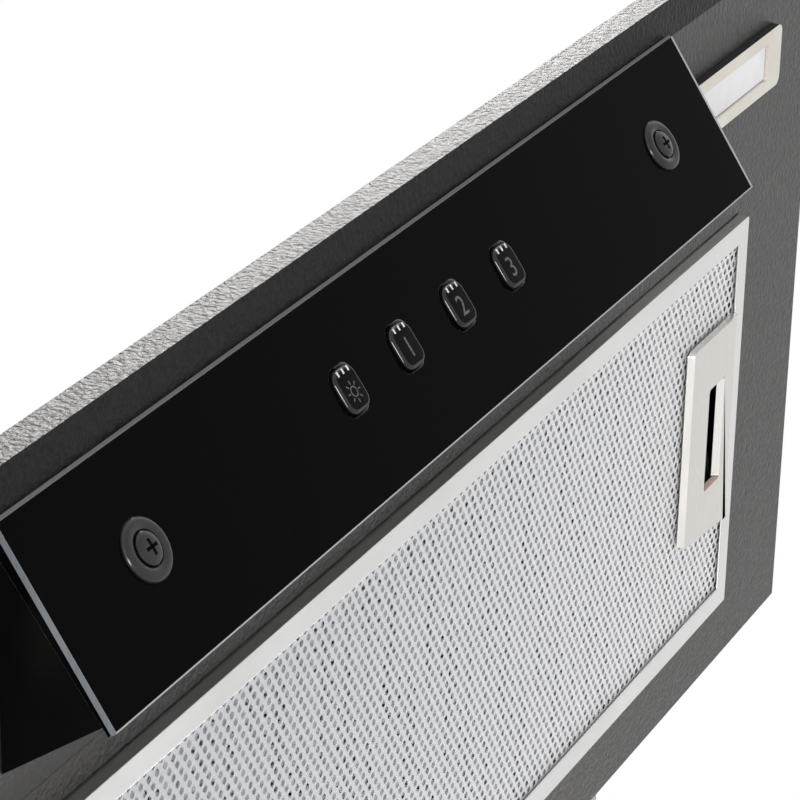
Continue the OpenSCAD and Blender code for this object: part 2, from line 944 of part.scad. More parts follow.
module button_holes(depth) {
    for (i = [0:button_names - 1])
        translate([button_x(i), screw_row, -1])
            linear_extrude(depth + 2)
                round_rect(button_w + 2 * button_gap, button_h + 2 * button_gap, button_r + button_gap);
}

module control_housing() {
    z0 = panel_t;
    toe = (z0 * cos(panel_tilt) - gap) / sin(panel_tilt);
    in_y0 = ((z0 + 2 * housing_wall) * cos(panel_tilt) - gap) / sin(panel_tilt);
    in_y1 = housing_y1 - housing_wall;
    in_z = z0 + housing_wall;
    color([0.05, 0.05, 0.05])
    on_panel()
    difference() {
        union() {
            difference() {
                along_x(housing_w)
                    polygon([[toe, z0], [housing_y1, z0], [housing_y1, pan_depth(housing_y1)]]);
                along_x(housing_w - 2 * housing_wall)
                    polygon([[in_y0, in_z], [in_y1, in_z], [in_y1, pan_depth(in_y1) + 3],
                        [in_y0, pan_depth(in_y0) + 3]]);
            }
            for (side = [-1, 1]) {
                translate([side * panel_screw_x, screw_row, z0 + housing_wall / 2])
                    cylinder(r = boss_r, h = boss_len + housing_wall / 2);
                translate([side * (board_w / 2 - 5), post_y, z0 + housing_wall / 2])
                    cylinder(r = 3, h = board_z - z0 - housing_wall / 2);
            }
        }
        for (side = [-1, 1])
            translate([side * panel_screw_x, screw_row, z0 - 1])
                cylinder(r = screw_shank_r + 0.02, h = boss_len + housing_wall + 2);
        button_holes(in_z);
    }
}

module control_panel() {
    color([0.02, 0.02, 0.02])
    on_panel()
    difference() {
        along_x(panel_w)
            polygon([[0, 0], [panel_h, 0], [panel_h, panel_t], [panel_t / tan(panel_tilt), panel_t]]);
        for (side = [-1, 1])
            translate([side * panel_screw_x, screw_row, -1])
                cylinder(r = screw_shank_r + 0.4, h = panel_t + 2);
        button_holes(panel_t);
    }
}

// A pressed cup washer: a low rim, a domed shoulder and a countersunk seat for the screw's head
washer_r = 6.9;
washer_h = 2.6;
washer_steps = 6;

module cup_washers() {
    color([0.08, 0.08, 0.08])
    on_panel()
    for (side = [-1, 1])
        translate([side * panel_screw_x, screw_row, 0])
            rotate([180, 0, 0])
                rotate_extrude()
                    polygon(concat([[screw_shank_r + 0.4, 0], [washer_r, 0], [washer_r, 0.5]],
                        [for (i = [0:washer_steps])
                            let (a = 90 * i / washer_steps)
                            [screw_head_r + 0.6 + 1.6 * cos(a), 0.5 + (washer_h - 0.5) * sin(a)]],
                        [[screw_head_r + 0.1, washer_h - 0.1], [screw_shank_r + 0.4, 0.5]]));
}

module panel_screws() {
    color([0.1, 0.1, 0.1])
    on_panel()
    for (side = [-1, 1])
        translate([side * panel_screw_x, screw_row, 0])
            rotate([180, 0, 0])
            difference() {
                union() {
                    rotate_extrude()
                        polygon([[0, 0.6], [screw_shank_r, 0.6], [screw_head_r, washer_h],
                            [screw_head_r * 0.8, washer_h + 0.45], [screw_head_r * 0.45, washer_h + 0.75],
                            [0, washer_h + 0.85]]);
                    translate([0, 0, -panel_t - housing_wall - boss_len + 1])
                        cylinder(r = screw_shank_r, h = panel_t + housing_wall + boss_len);
                }
                for (a = [0, 90])
                    rotate(a)
                        translate([-1.9, -0.35, washer_h - 0.7])
                            cube([3.8, 0.7, 3]);
            }
}

// The board carries four small push switches under the buttons
module switch_board() {
    switch_z = panel_t + housing_wall + gap + 1 + 1 + button_travel + 0.2;
    color("darkgreen")
    on_panel() {
        translate([-board_w / 2, board_y, board_z])
            cube([board_w, board_d, board_t]);
        for (i = [0:button_names - 1])
            translate([button_x(i), screw_row, 0]) {
                translate([-3, -3, switch_z + 1])
                    cube([6, 6, board_z - switch_z - 1]);
                translate([0, 0, switch_z])
                    cylinder(r = 1.6, h = 1 + eps);
            }
    }
}

module push_button(i) {
    flange_z = panel_t + housing_wall + gap;
    color([0.03, 0.03, 0.03])
    on_panel()
    translate([button_x(i), screw_row, 0]) {
        translate([0, 0, -button_proud])
            linear_extrude(button_proud + flange_z + 1)
                round_rect(button_w, button_h, button_r);
        translate([0, 0, flange_z])
            linear_extrude(1)
                round_rect(button_w + 2.4, button_h + 2.4, button_r);
        translate([0, 0, flange_z + 1 - eps])
            cylinder(r = 2, h = 1);
    }
}

module button_light() {
    push_button(0);
}

module button_low() {
    push_button(1);
}

module button_medium() {
    push_button(2);
}

module button_high() {
    push_button(3);
}

// ---------- lamps ----------

lamp_shoulder = 0.6;
lamp_shaft_h = 5;
lamp_window_w = lamp_w - 2 * lamp_end_margin;
lamp_window_d = lamp_d - 2 * lamp_side_margin;
lamp_cavity_w = lamp_shaft_w - 2.4;
lamp_cavity_d = lamp_shaft_d - 2.4;
lens_recess = 1;
lamp_board_z = 3;

module at_lamp(side) {
    at_tray()
        translate([side * lamp_x, lamp_mid_y, 0])
            children();
}

// The bezel is one die casting: a flat rim on the tray and a shaft through it
module lamp_bezel(side) {
    color([0.78, 0.74, 0.68])
    at_lamp(side)
    difference() {
        union() {
            translate([0, 0, -lamp_proud])
                linear_extrude(lamp_proud)
                    round_rect(lamp_w, lamp_d, 3);
            translate([-lamp_shaft_w / 2, -lamp_shaft_d / 2, -1])
                cube([lamp_shaft_w, lamp_shaft_d, lamp_shaft_h + 1]);
        }
        translate([0, 0, -lamp_proud - 1])
            linear_extrude(lamp_proud + 2)
                round_rect(lamp_window_w, lamp_window_d, 1);
        translate([-lamp_cavity_w / 2, -lamp_cavity_d / 2, -lamp_shoulder])
            cube([lamp_cavity_w, lamp_cavity_d, lamp_shaft_h + 2]);
    }
}

module lamp_lens(side) {
    color([0.9, 0.9, 0.92])
    at_lamp(side) {
        translate([0, 0, -lamp_proud + lens_recess])
            linear_extrude(lamp_proud - lens_recess)
                round_rect(lamp_window_w - 0.4, lamp_window_d - 0.4, 1);
        translate([-lamp_cavity_w / 2 + gap, -lamp_cavity_d / 2 + gap, -lamp_shoulder])
            cube([lamp_cavity_w - 2 * gap, lamp_cavity_d - 2 * gap, 1.2]);
    }
}

module lamp_board(side) {
    color("white")
    at_lamp(side) {
        translate([-lamp_cavity_w / 2 + gap, -lamp_cavity_d / 2 + gap, lamp_board_z])
            cube([lamp_cavity_w - 2 * gap, lamp_cavity_d - 2 * gap, 1.2]);
        for (i = [-2:2])
            translate([i * 13 - 1.5, -1.5, lamp_board_z - 0.8])
                cube([3, 3, 0.8]);
    }
}

module lamp_bezel_left() {
    lamp_bezel(-1);
}

module lamp_bezel_right() {
    lamp_bezel(1);
}

module lamp_lens_left() {
    lamp_lens(-1);
}

module lamp_lens_right() {
    lamp_lens(1);
}

module lamp_board_left() {
    lamp_board(-1);
}

module lamp_board_right() {
    lamp_board(1);
}

// ---------- grease filter ----------

latch_x = filter_w / 2 - filter_flange - gap - latch_w;
pocket_x0 = latch_x + 3;
pocket_x1 = filter_w / 2 - filter_sheet;
pocket_y0 = latch_y + 3;
pocket_y1 = latch_y + latch_d - 3;
bolt_d = 14;
bolt_z = tray_sheet + gap + filter_proud;
bolt_t = 2;
mesh_z0 = filter_sheet;
back_z0 = filter_h - filter_sheet - mesh_t;
fold_h = (back_z0 - mesh_z0 - mesh_t) / 2;

// The filter's own frame: y from its front edge, z from its lower face
module at_filter() {
    at_tray()
        translate([0, filter_y, -filter_proud])
            children();
}

module latch_pocket(z0, h) {
    translate([pocket_x0, pocket_y0, z0])
        cube([pocket_x1 - pocket_x0 + gap, pocket_y1 - pocket_y0, h]);
}

// The frame is one channel bent round the edge of the mesh, open to the inside
module filter_frame() {
    color([0.85, 0.86, 0.87])
    at_filter()
    difference() {
        translate([-filter_w / 2, 0, 0])
            cube([filter_w, filter_d, filter_h]);
        translate([-filter_w / 2 + filter_sheet, filter_sheet, filter_sheet])
            cube([filter_w - 2 * filter_sheet, filter_d - 2 * filter_sheet, filter_h - 2 * filter_sheet]);
        translate([-filter_w / 2 + filter_flange, filter_flange, -1])
            cube([filter_w - 2 * filter_flange, filter_d - 2 * filter_flange, filter_h + 2]);
        translate([filter_w / 2 - filter_sheet - 1, latch_y + (latch_d - bolt_d) / 2 - gap, bolt_z - gap])
            cube([3, bolt_d + 2 * gap, bolt_t + 2 * gap]);
    }
}

mesh_w = filter_w - 2 * filter_sheet - 0.4;
mesh_d = filter_d - 2 * filter_sheet - 0.4;

module mesh_sheet(z) {
    at_filter()
    difference() {
        translate([-mesh_w / 2, filter_sheet + 0.2, z])
            cube([mesh_w, mesh_d, mesh_t]);
        latch_pocket(z - 1, mesh_t + 2);
    }
}

module filter_face_mesh() {
    color([0.8, 0.82, 0.84])
        mesh_sheet(mesh_z0);
}

module filter_back_mesh() {
    color([0.8, 0.82, 0.84])
        mesh_sheet(back_z0);
}

// A folded inner layer: a zigzag of thin sheet, its folds along the depth of the filter
fold_sheet_t = 0.4;
fold_count = round(mesh_w / fold_pitch);
half_fold = mesh_w / fold_count / 2;

function zigzag(z) = [for (i = [0:2 * fold_count])
    [(i - fold_count) * half_fold, z + (i % 2) * (fold_h - fold_sheet_t)]];
function zigzag_back(z) = [for (i = [2 * fold_count:-1:0])
    [(i - fold_count) * half_fold, z + (i % 2) * (fold_h - fold_sheet_t)]];

module folded_layer(z) {
    at_filter()
    difference() {
        translate([0, filter_sheet + 0.2 + mesh_d, 0])
            rotate([90, 0, 0])
                linear_extrude(mesh_d)
                    polygon(concat(zigzag(z), zigzag_back(z + fold_sheet_t)));
        latch_pocket(z - 1, fold_h + 2);
    }
}

module filter_fold_lower() {
    color([0.75, 0.77, 0.79])
        folded_layer(mesh_z0 + mesh_t);
}

module filter_fold_upper() {
    color([0.75, 0.77, 0.79])
        translate([0, 0, fold_h])
            folded_layer(mesh_z0 + mesh_t);
}

// Two tongues at the left end hook over the tray's sheet, and the filter swings on them
hook_reach = 6;
hook_w = 20;
hook_inset = 25;
hook_t = 1;

module filter_hooks() {
    color("silver")
    at_filter()
    for (y = [hook_inset, filter_d - hook_inset - hook_w])
        translate([-filter_w / 2 - hinge_gap - hook_reach, y, filter_proud + tray_sheet + gap])
            cube([hook_reach + hinge_gap, hook_w, hook_t]);
}

// ---------- latch ----------

slot_inset_x = 14.1;
slot_inset_y = 17.5;
slot_x = latch_x + slot_inset_x;
slot_y = latch_y + slot_inset_y;
latch_h = latch_proud + mesh_z0 - gap;
cup_sheet = 0.8;
cup_x0 = pocket_x0 + gap;
cup_y0 = pocket_y0 + gap;
cup_w = pocket_x1 - gap - cup_x0;
cup_d = pocket_y1 - gap - cup_y0;
cup_z0 = mesh_z0;
cup_h = filter_h - filter_sheet - cup_z0;
cup_flange = 2;
bolt_y = latch_y + (latch_d - bolt_d) / 2;
bolt_reach = 4;
bolt_end = filter_w / 2 + filter_side_gap + bolt_reach;
bolt_post_x = latch_x + 30;
tab_w = 10;
tab_y = cup_y0 + cup_sheet + cup_flange + gap;
foot_z = cup_z0 + cup_sheet + gap;

// The latch plate is a shallow pressed tray with a folded edge. The lip of its finger slot, its two
// guide tabs and its bolt are one piece with it.
module latch_plate() {
    mid_y = latch_y + latch_d / 2;
    color([0.8, 0.78, 0.75])
    at_filter()
    difference() {
        union() {
            difference() {
                translate([latch_x + latch_w / 2, mid_y, -latch_proud])
                    linear_extrude(latch_h)
                        round_rect(latch_w, latch_d, 1.5);
                translate([latch_x + latch_w / 2, mid_y, -latch_proud + cup_sheet])
                    linear_extrude(latch_h)
                        round_rect(latch_w - 2 * cup_sheet, latch_d - 2 * cup_sheet, 0.7);
            }
            translate([slot_x + finger_slot_w / 2, slot_y + finger_slot_d / 2, -latch_proud])
                linear_extrude(latch_h)
                    round_rect(finger_slot_w + 2 * cup_sheet, finger_slot_d + 2 * cup_sheet, 2);
            for (end = [0, 1])
                translate([latch_x + 11, mid_y, 0])
                    mirror([0, end, 0])
                        translate([0, tab_y - mid_y, -latch_proud + cup_sheet / 2]) {
                            cube([tab_w, cup_sheet, foot_z + cup_sheet / 2 + latch_proud]);
                            translate([0, gap - cup_flange, foot_z - cup_sheet / 2 + latch_proud])
                                cube([tab_w, cup_flange, cup_sheet]);
                        }
            translate([bolt_post_x, bolt_y, -latch_proud + cup_sheet / 2])
                cube([2, bolt_d, bolt_z + bolt_t + latch_proud - cup_sheet / 2]);
            translate([bolt_post_x, bolt_y, bolt_z])
                cube([bolt_end - bolt_post_x, bolt_d, bolt_t]);
        }
        translate([slot_x + finger_slot_w / 2, slot_y + finger_slot_d / 2, -latch_proud - 1])
            linear_extrude(latch_h + 2)
                round_rect(finger_slot_w, finger_slot_d, 1.2);
    }
}

// A cup in the mesh guides the latch plate's tabs and keeps grease out behind the finger slot
module latch_cup() {
    color([0.6, 0.6, 0.6])
    at_filter()
    difference() {
        translate([cup_x0, cup_y0, cup_z0])
            cube([cup_w, cup_d, cup_h]);
        translate([cup_x0 + cup_sheet, cup_y0 + cup_sheet, cup_z0 + cup_sheet])
            cube([cup_w - 2 * cup_sheet, cup_d - 2 * cup_sheet, cup_h - 2 * cup_sheet]);
        translate([cup_x0 + cup_sheet, cup_y0 + cup_sheet + cup_flange, cup_z0 - 1])
            cube([cup_w - 2 * cup_sheet, cup_d - 2 * cup_sheet - 2 * cup_flange, cup_sheet + 2]);
        translate([cup_x0 + cup_w - 2, bolt_y - gap, cup_z0 - 1])
            cube([3, bolt_d + 2 * gap, bolt_z + bolt_t + gap - cup_z0 + 1]);
    }
}

casing_walls();
casing_roof();
base_plate();
rail_left();
rail_right();
scroll_left();
scroll_right();
motor();
motor_bracket();
run_capacitor();
capacitor_clip();
terminal_box();
terminal_lid();
cord_gland();
duct_collar();
collar_screws();
flap_pin();
tray_switch();
impeller();
motor_shaft();
flap_front();
flap_rear();
tray_pan();
tray_cover();
runner_left();
runner_right();
glide_shoes_left();
glide_shoes_right();
runner_screws();
filter_ledge_front();
filter_ledge_rear();
control_housing();
control_panel();
cup_washers();
panel_screws();
switch_board();
lamp_bezel_left();
lamp_bezel_right();
lamp_lens_left();
lamp_lens_right();
lamp_board_left();
lamp_board_right();
button_light();
button_low();
button_medium();
button_high();
filter_frame();
filter_face_mesh();
filter_fold_lower();
filter_fold_upper();
filter_back_mesh();
filter_hooks();
latch_plate();
latch_cup();
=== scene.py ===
import math

import bmesh
import bpy
from mathutils import Matrix, Vector


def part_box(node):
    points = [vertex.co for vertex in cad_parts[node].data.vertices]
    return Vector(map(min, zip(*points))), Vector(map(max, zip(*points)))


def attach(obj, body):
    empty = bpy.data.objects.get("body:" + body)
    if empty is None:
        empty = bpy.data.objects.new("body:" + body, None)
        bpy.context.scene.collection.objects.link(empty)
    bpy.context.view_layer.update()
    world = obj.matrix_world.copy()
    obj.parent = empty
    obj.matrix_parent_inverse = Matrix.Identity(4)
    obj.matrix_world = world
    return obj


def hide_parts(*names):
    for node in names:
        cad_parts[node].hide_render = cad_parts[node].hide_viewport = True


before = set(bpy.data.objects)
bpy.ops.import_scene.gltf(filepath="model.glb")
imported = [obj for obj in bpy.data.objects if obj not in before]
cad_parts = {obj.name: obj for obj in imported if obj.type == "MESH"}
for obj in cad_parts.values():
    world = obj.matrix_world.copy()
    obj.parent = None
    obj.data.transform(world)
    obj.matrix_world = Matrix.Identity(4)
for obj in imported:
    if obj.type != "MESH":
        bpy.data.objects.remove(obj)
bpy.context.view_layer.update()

# ---------- the view ----------
# The photograph looks up at the underside of the pulled-out tray from the front left, with a long
# lens, and the camera is rolled so that the hood's front edge climbs to the upper right.
view_from = Vector((-0.67318, -0.63444, -0.52428))
view_along = Vector((0.81697, 0.41493, 0.40049))
view_top = Vector((0.36339, -0.90966, 0.20116))
lens_mm = 152.27

camera = bpy.data.objects.new("camera", bpy.data.cameras.new("camera"))
bpy.context.scene.collection.objects.link(camera)
camera.data.sensor_width = 36
camera.data.lens = lens_mm
camera.data.clip_start = 0.01
camera_back = -view_along.normalized()
camera_right = view_top.cross(camera_back).normalized()
camera_up = camera_back.cross(camera_right)
camera.matrix_world = Matrix.Translation(view_from) @ Matrix(
    (camera_right, camera_up, camera_back)).transposed().to_4x4()
bpy.context.scene.camera = camera


# ---------- fixed casing ----------
# Walls and roof folded from galvanised sheet steel, with a base plate spot-welded into them. The zinc
# has crystallised in pale and dark flakes, and all are left unpainted inside the cabinet.
mm = 0.001
casing_edge = 0.5 * mm
same_point = 0.005 * mm
same_plane = math.radians(0.5)
edge_limit = math.radians(35)


def new_finish(name, color, metallic, roughness):
    """A plain finish, whose values the patterns below can then vary."""
    finish = bpy.data.materials.new(name)
    finish.use_nodes = True
    shader = finish.node_tree.nodes["Principled BSDF"]
    shader.inputs["Base Color"].default_value = (*color, 1)
    shader.inputs["Metallic"].default_value = metallic
    shader.inputs["Roughness"].default_value = roughness
    return finish


def pattern(finish, kind, scale, stretch=(1, 1, 1), output=0, **settings):
    """A pattern in the piece's own metres; output 0 is its value and output 1 its colour."""
    nodes, links = finish.node_tree.nodes, finish.node_tree.links
    place = nodes.new("ShaderNodeTexCoord")
    spread = nodes.new("ShaderNodeMapping")
    spread.inputs["Scale"].default_value = stretch
    texture = nodes.new("ShaderNodeTex" + kind)
    texture.inputs["Scale"].default_value = scale
    for name, value in settings.items():
        texture.inputs[name].default_value = value
    links.new(place.outputs["Object"], spread.inputs["Vector"])
    links.new(spread.outputs["Vector"], texture.inputs["Vector"])
    return texture.outputs[output]


def vary(finish, socket, value, low, high, ends=(0.3, 0.7)):
    """Lets a pattern move a shader value between two numbers, or its colour between two colours."""
    nodes, links = finish.node_tree.nodes, finish.node_tree.links
    shader = nodes["Principled BSDF"]
    ramp = nodes.new("ShaderNodeValToRGB")
    pair = [c if isinstance(c, tuple) else (c, c, c) for c in (low, high)]
    for stop, place, color in zip(ramp.color_ramp.elements, ends, pair):
        stop.position = place
        stop.color = (*color, 1)
    links.new(value, ramp.inputs["Fac"])
    links.new(ramp.outputs["Color"], shader.inputs[socket])


def relief(finish, height, depth, strength=1.0):
    """Adds a pattern to the surface's relief; depth is its height in metres."""
    nodes, links = finish.node_tree.nodes, finish.node_tree.links
    normal = nodes["Principled BSDF"].inputs["Normal"]
    bump = nodes.new("ShaderNodeBump")
    bump.inputs["Distance"].default_value = depth
    bump.inputs["Strength"].default_value = strength
    links.new(height, bump.inputs["Height"])
    if normal.is_linked:
        links.new(normal.links[0].from_socket, bump.inputs["Normal"])
    links.new(bump.outputs["Normal"], normal)


def merged_solid(node):
    """A copy of a node's solid with its loose triangles merged into plain faces."""
    shape = bmesh.new()
    shape.from_mesh(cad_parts[node].data)
    bmesh.ops.remove_doubles(shape, verts=shape.verts, dist=same_point)
    bmesh.ops.dissolve_limit(shape, angle_limit=same_plane, verts=shape.verts, edges=shape.edges,
                             delimit=set())
    return shape


def place_piece(name, shape, finishes, body, smooth_to=30):
    """Turns a shape into a piece that moves with a body; edges under smooth_to degrees shade smoothly."""
    for face in shape.faces:
        face.smooth = True
    for edge in shape.edges:
        edge.smooth = edge.calc_face_angle(0) < math.radians(smooth_to)
    mesh = bpy.data.meshes.new(name)
    shape.to_mesh(mesh)
    shape.free()
    for finish in finishes:
        mesh.materials.append(finish)
    piece = bpy.data.objects.new(name, mesh)
    bpy.context.scene.collection.objects.link(piece)
    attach(piece, body)
    return piece


def round_edges(piece, width, steps=2, finish_index=-1):
    """Breaks the sharp edges of a piece by a small radius."""
    bevel = piece.modifiers.new("broken_edges", "BEVEL")
    bevel.width = width
    bevel.segments = steps
    bevel.limit_method = "ANGLE"
    bevel.angle_limit = edge_limit
    bevel.harden_normals = True
    bevel.material = finish_index


def dress(node, body, finish, edge, steps=2):
    """Takes a node's solid over as a finished piece of the same size, with broken edges."""
    piece = place_piece(node + "_finished", merged_solid(node), [finish], body)
    if edge:
        round_edges(piece, edge, steps)
    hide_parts(node)
    return piece


galvanised = new_finish("galvanised_sheet", (0.5, 0.52, 0.53), 0.85, 0.45)
flakes = pattern(galvanised, "Voronoi", 110, output=1)
vary(galvanised, "Base Color", flakes, (0.4, 0.415, 0.43), (0.56, 0.57, 0.58), (0.15, 0.85))
vary(galvanised, "Roughness", pattern(galvanised, "Noise", 60, Detail=4), 0.36, 0.55)
relief(galvanised, pattern(galvanised, "Noise", 14, Detail=2), 0.4 * mm, 0.5)
for node in ("casing_walls", "casing_roof", "base_plate"):
    dress(node, "housing", galvanised, casing_edge)

# ---------- runner rails ----------
# Two C-shaped rails of rolled, zinc-plated steel, spot-welded inside the casing's side walls. Drawing
# through the rolls leaves long fine lines.
zinc = new_finish("zinc_plate", (0.66, 0.68, 0.7), 1, 0.32)
vary(zinc, "Base Color", pattern(zinc, "Noise", 40, Detail=3), (0.58, 0.6, 0.63), (0.74, 0.76, 0.78))
relief(zinc, pattern(zinc, "Noise", 900, (1, 0.02, 1), Detail=2), 0.03 * mm, 0.5)
for node in ("rail_left", "rail_right"):
    dress(node, "housing", zinc, 0.3 * mm)

# ---------- blower housing ----------
# The spiral housing is moulded in two halves from black glass-filled plastic, screwed up under the
# casing's roof. Its skin is matt and slightly cloudy, as filled plastic is.
black_plastic = new_finish("black_filled_plastic", (0.025, 0.025, 0.026), 0, 0.55)
vary(black_plastic, "Base Color", pattern(black_plastic, "Noise", 70, Detail=5),
     (0.018, 0.018, 0.019), (0.04, 0.04, 0.042))
vary(black_plastic, "Roughness", pattern(black_plastic, "Noise", 25, Detail=2), 0.45, 0.65)
relief(black_plastic, pattern(black_plastic, "Noise", 1800, Detail=2), 0.03 * mm, 0.5)
for node in ("scroll_left", "scroll_right"):
    dress(node, "housing", black_plastic, 0.4 * mm)

# ---------- motor ----------
# The motor's drum is enamelled steel, pressed onto a zinc-plated bracket that hangs beside the
# blower's right inlet. Its shaft is ground steel.
motor_enamel = new_finish("motor_enamel", (0.12, 0.125, 0.13), 0.3, 0.4)
vary(motor_enamel, "Roughness", pattern(motor_enamel, "Noise", 120, Detail=4), 0.3, 0.5)
relief(motor_enamel, pattern(motor_enamel, "Wave", 160, (1, 0, 0), Distortion=0), 0.1 * mm, 0.6)
dress("motor", "housing", motor_enamel, 0.8 * mm, 3)
dress("motor_bracket", "housing", zinc, 0.3 * mm)
dress("motor_shaft", "impeller", zinc, 0.3 * mm)

# ---------- capacitor and terminal box ----------
# The run capacitor is a white plastic can in a black clip, and the wires meet in a black box with a
# snap-on lid. The cord leaves through a nylon gland in the roof.
can_plastic = new_finish("can_plastic", (0.72, 0.73, 0.72), 0, 0.42)
vary(can_plastic, "Base Color", pattern(can_plastic, "Noise", 30, Detail=3),
     (0.68, 0.69, 0.68), (0.76, 0.77, 0.76))
relief(can_plastic, pattern(can_plastic, "Noise", 900, Detail=2), 0.02 * mm, 0.4)
dress("run_capacitor", "housing", can_plastic, 0.8 * mm, 3)
for node, edge in (("capacitor_clip", 0.3), ("terminal_box", 0.5), ("terminal_lid", 0.8),
                   ("cord_gland", 0.4), ("tray_switch", 0.4)):
    dress(node, "housing", black_plastic, edge * mm)

# ---------- impeller ----------
# The wheel is moulded in grey plastic: a ring of thin curved blades on a middle disc. Mould release
# leaves it with a soft, slightly uneven sheen.
grey_plastic = new_finish("grey_moulding", (0.16, 0.165, 0.17), 0, 0.5)
vary(grey_plastic, "Base Color", pattern(grey_plastic, "Noise", 60, Detail=4),
     (0.13, 0.135, 0.14), (0.2, 0.205, 0.21))
relief(grey_plastic, pattern(grey_plastic, "Noise", 1500, Detail=2), 0.02 * mm, 0.5)
dress("impeller", "impeller", grey_plastic, 0)

# ---------- duct collar and flaps ----------
# The collar is a black moulding held by four zinc screws, and two half-round grey flaps hang on a
# steel pin across it, so that they fall shut by themselves.
dress("duct_collar", "housing", black_plastic, 0.25 * mm)
dress("collar_screws", "housing", zinc, 0.25 * mm)
dress("flap_pin", "housing", zinc, 0.2 * mm)
for node in ("flap_front", "flap_rear"):
    dress(node, node, grey_plastic, 0.25 * mm)

# ---------- tray ----------
# The tray is folded from one steel sheet on a press brake, which leaves its bends soft, and is
# powder-coated in charcoal with a leather grain, deeper on the lip and on the thin strip before the
# filter. The coat under the lip, between it and the panel, has its gloss cut low as a painted shadow
# of the wedge, and the thin strip before the filter has its gloss raised as a painted sheen. The cover
# over the filter has the same coat.
coat_edge = 0.9 * mm
cover_edge = 0.4 * mm
painted_shadow_to_y = -333.3 * mm
sheen_strip_size = (8 * mm, 0.1 * mm)
sheen_strip_gap = 0.5 * mm
sheen_strip_z = -190.02 * mm
facing_limit = 0.7


def set_gloss(finish, level):
    """Sets how strongly a finish mirrors; 0.5 is plain gloss."""
    finish.node_tree.nodes["Principled BSDF"].inputs["Specular IOR Level"].default_value = level


def grained_coat(name, gloss, deep):
    """A charcoal powder coat; gloss is its specular level and deep scales its leather grain."""
    coat = new_finish(name, (0.015, 0.015, 0.015), 0, 0.45)
    set_gloss(coat, gloss)
    coat.node_tree.nodes["Principled BSDF"].inputs["Specular Tint"].default_value = (1, 0.965, 0.94, 1)
    grain = pattern(coat, "Noise", 760, Detail=3, Roughness=0.6)
    vary(coat, "Base Color", grain, (0.01, 0.01, 0.01), (0.024, 0.0235, 0.023))
    vary(coat, "Roughness", grain, 0.36, 0.52)
    relief(coat, pattern(coat, "Voronoi", 620, Randomness=1), 0.18 * mm * deep)
    relief(coat, grain, 0.32 * mm * deep)
    return coat


def cut_along(shape, place, across):
    """Cuts all faces along the plane through a place, square to the direction across."""
    bmesh.ops.bisect_plane(shape, geom=shape.verts[:] + shape.edges[:] + shape.faces[:],
                           dist=0.001 * mm, plane_co=place, plane_no=across)


under_coat = grained_coat("leather_grain_coat", 0.7, 1)
lip_coat = grained_coat("leather_grain_lip_coat", 0.66, 1.8)
wedge_shadow_coat = grained_coat("leather_grain_painted_shadow_coat", 0.08, 1.4)
sheen_strip_coat = grained_coat("leather_grain_painted_sheen_coat", 0.9, 1.8)
shape = merged_solid("tray_pan")
cut_along(shape, (0, painted_shadow_to_y, 0), (0, 1, 0))
tray_piece = place_piece("tray_pan_finished", shape, [under_coat, lip_coat, wedge_shadow_coat], "tray")
# Downward faces in front of the panel take the low-gloss coat, a painted shadow of the wedge; the lip's
# faces take the lip coat.
for face in tray_piece.data.polygons:
    if face.center.y < painted_shadow_to_y:
        face.material_index = 2 if face.normal.z < -facing_limit else 1
round_edges(tray_piece, coat_edge, 3)
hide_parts("tray_pan")
dress("tray_cover", "tray", under_coat, cover_edge)

# A thin sheet of the coat with raised gloss lies just before the filter's front edge, a painted sheen
# that brightens that band.
filter_lo, filter_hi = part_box("filter_frame")
sheen_strip_centre = ((filter_lo.x + filter_hi.x) / 2, filter_lo.y - sheen_strip_gap - sheen_strip_size[0] / 2, sheen_strip_z)
shape = bmesh.new()
bmesh.ops.create_cube(shape, size=1, matrix=Matrix.Translation(sheen_strip_centre) @ Matrix.Diagonal(
    (filter_hi.x - filter_lo.x, *sheen_strip_size, 1)))
sheen_strip_piece = place_piece("painted_sheen_strip", shape, [sheen_strip_coat], "tray")

# ---------- runners ----------
# A bent steel arm at each end of the tray carries two acetal shoes that slide in the casing's rails.
# The arms are zinc-plated and screwed to the tray.
acetal = new_finish("natural_acetal", (0.75, 0.72, 0.62), 0, 0.4)
vary(acetal, "Base Color", pattern(acetal, "Noise", 80, Detail=3), (0.7, 0.67, 0.57), (0.8, 0.77, 0.68))
relief(acetal, pattern(acetal, "Noise", 1200, Detail=1), 0.02 * mm, 0.4)
for side in ("left", "right"):
    dress("runner_" + side, "tray", zinc, 0.3 * mm)
    dress("glide_shoes_" + side, "tray", acetal, 0.4 * mm)
dress("runner_screws", "tray", zinc, 0.25 * mm)
for node in ("filter_ledge_front", "filter_ledge_rear"):
    dress(node, "tray", zinc, 0.2 * mm)

# ---------- control housing ----------
# A wedge of matt black plastic under the tray's front carries the tilted panel. Its side walls show
# the faint lines of the mould.
housing_plastic = new_finish("wedge_plastic", (0.0025, 0.0025, 0.0025), 0, 0.42)
set_gloss(housing_plastic, 0.05)
vary(housing_plastic, "Roughness", pattern(housing_plastic, "Noise", 60, Detail=3), 0.32, 0.5)
relief(housing_plastic, pattern(housing_plastic, "Noise", 600, (1, 1, 0.1), Detail=2), 0.03 * mm, 0.5)
dress("control_housing", "tray", housing_plastic, 0.4 * mm)

board_green = new_finish("board_green", (0.02, 0.12, 0.05), 0, 0.35)
vary(board_green, "Base Color", pattern(board_green, "Voronoi", 500), (0.015, 0.1, 0.04),
     (0.03, 0.16, 0.07))
dress("switch_board", "tray", board_green, 0)

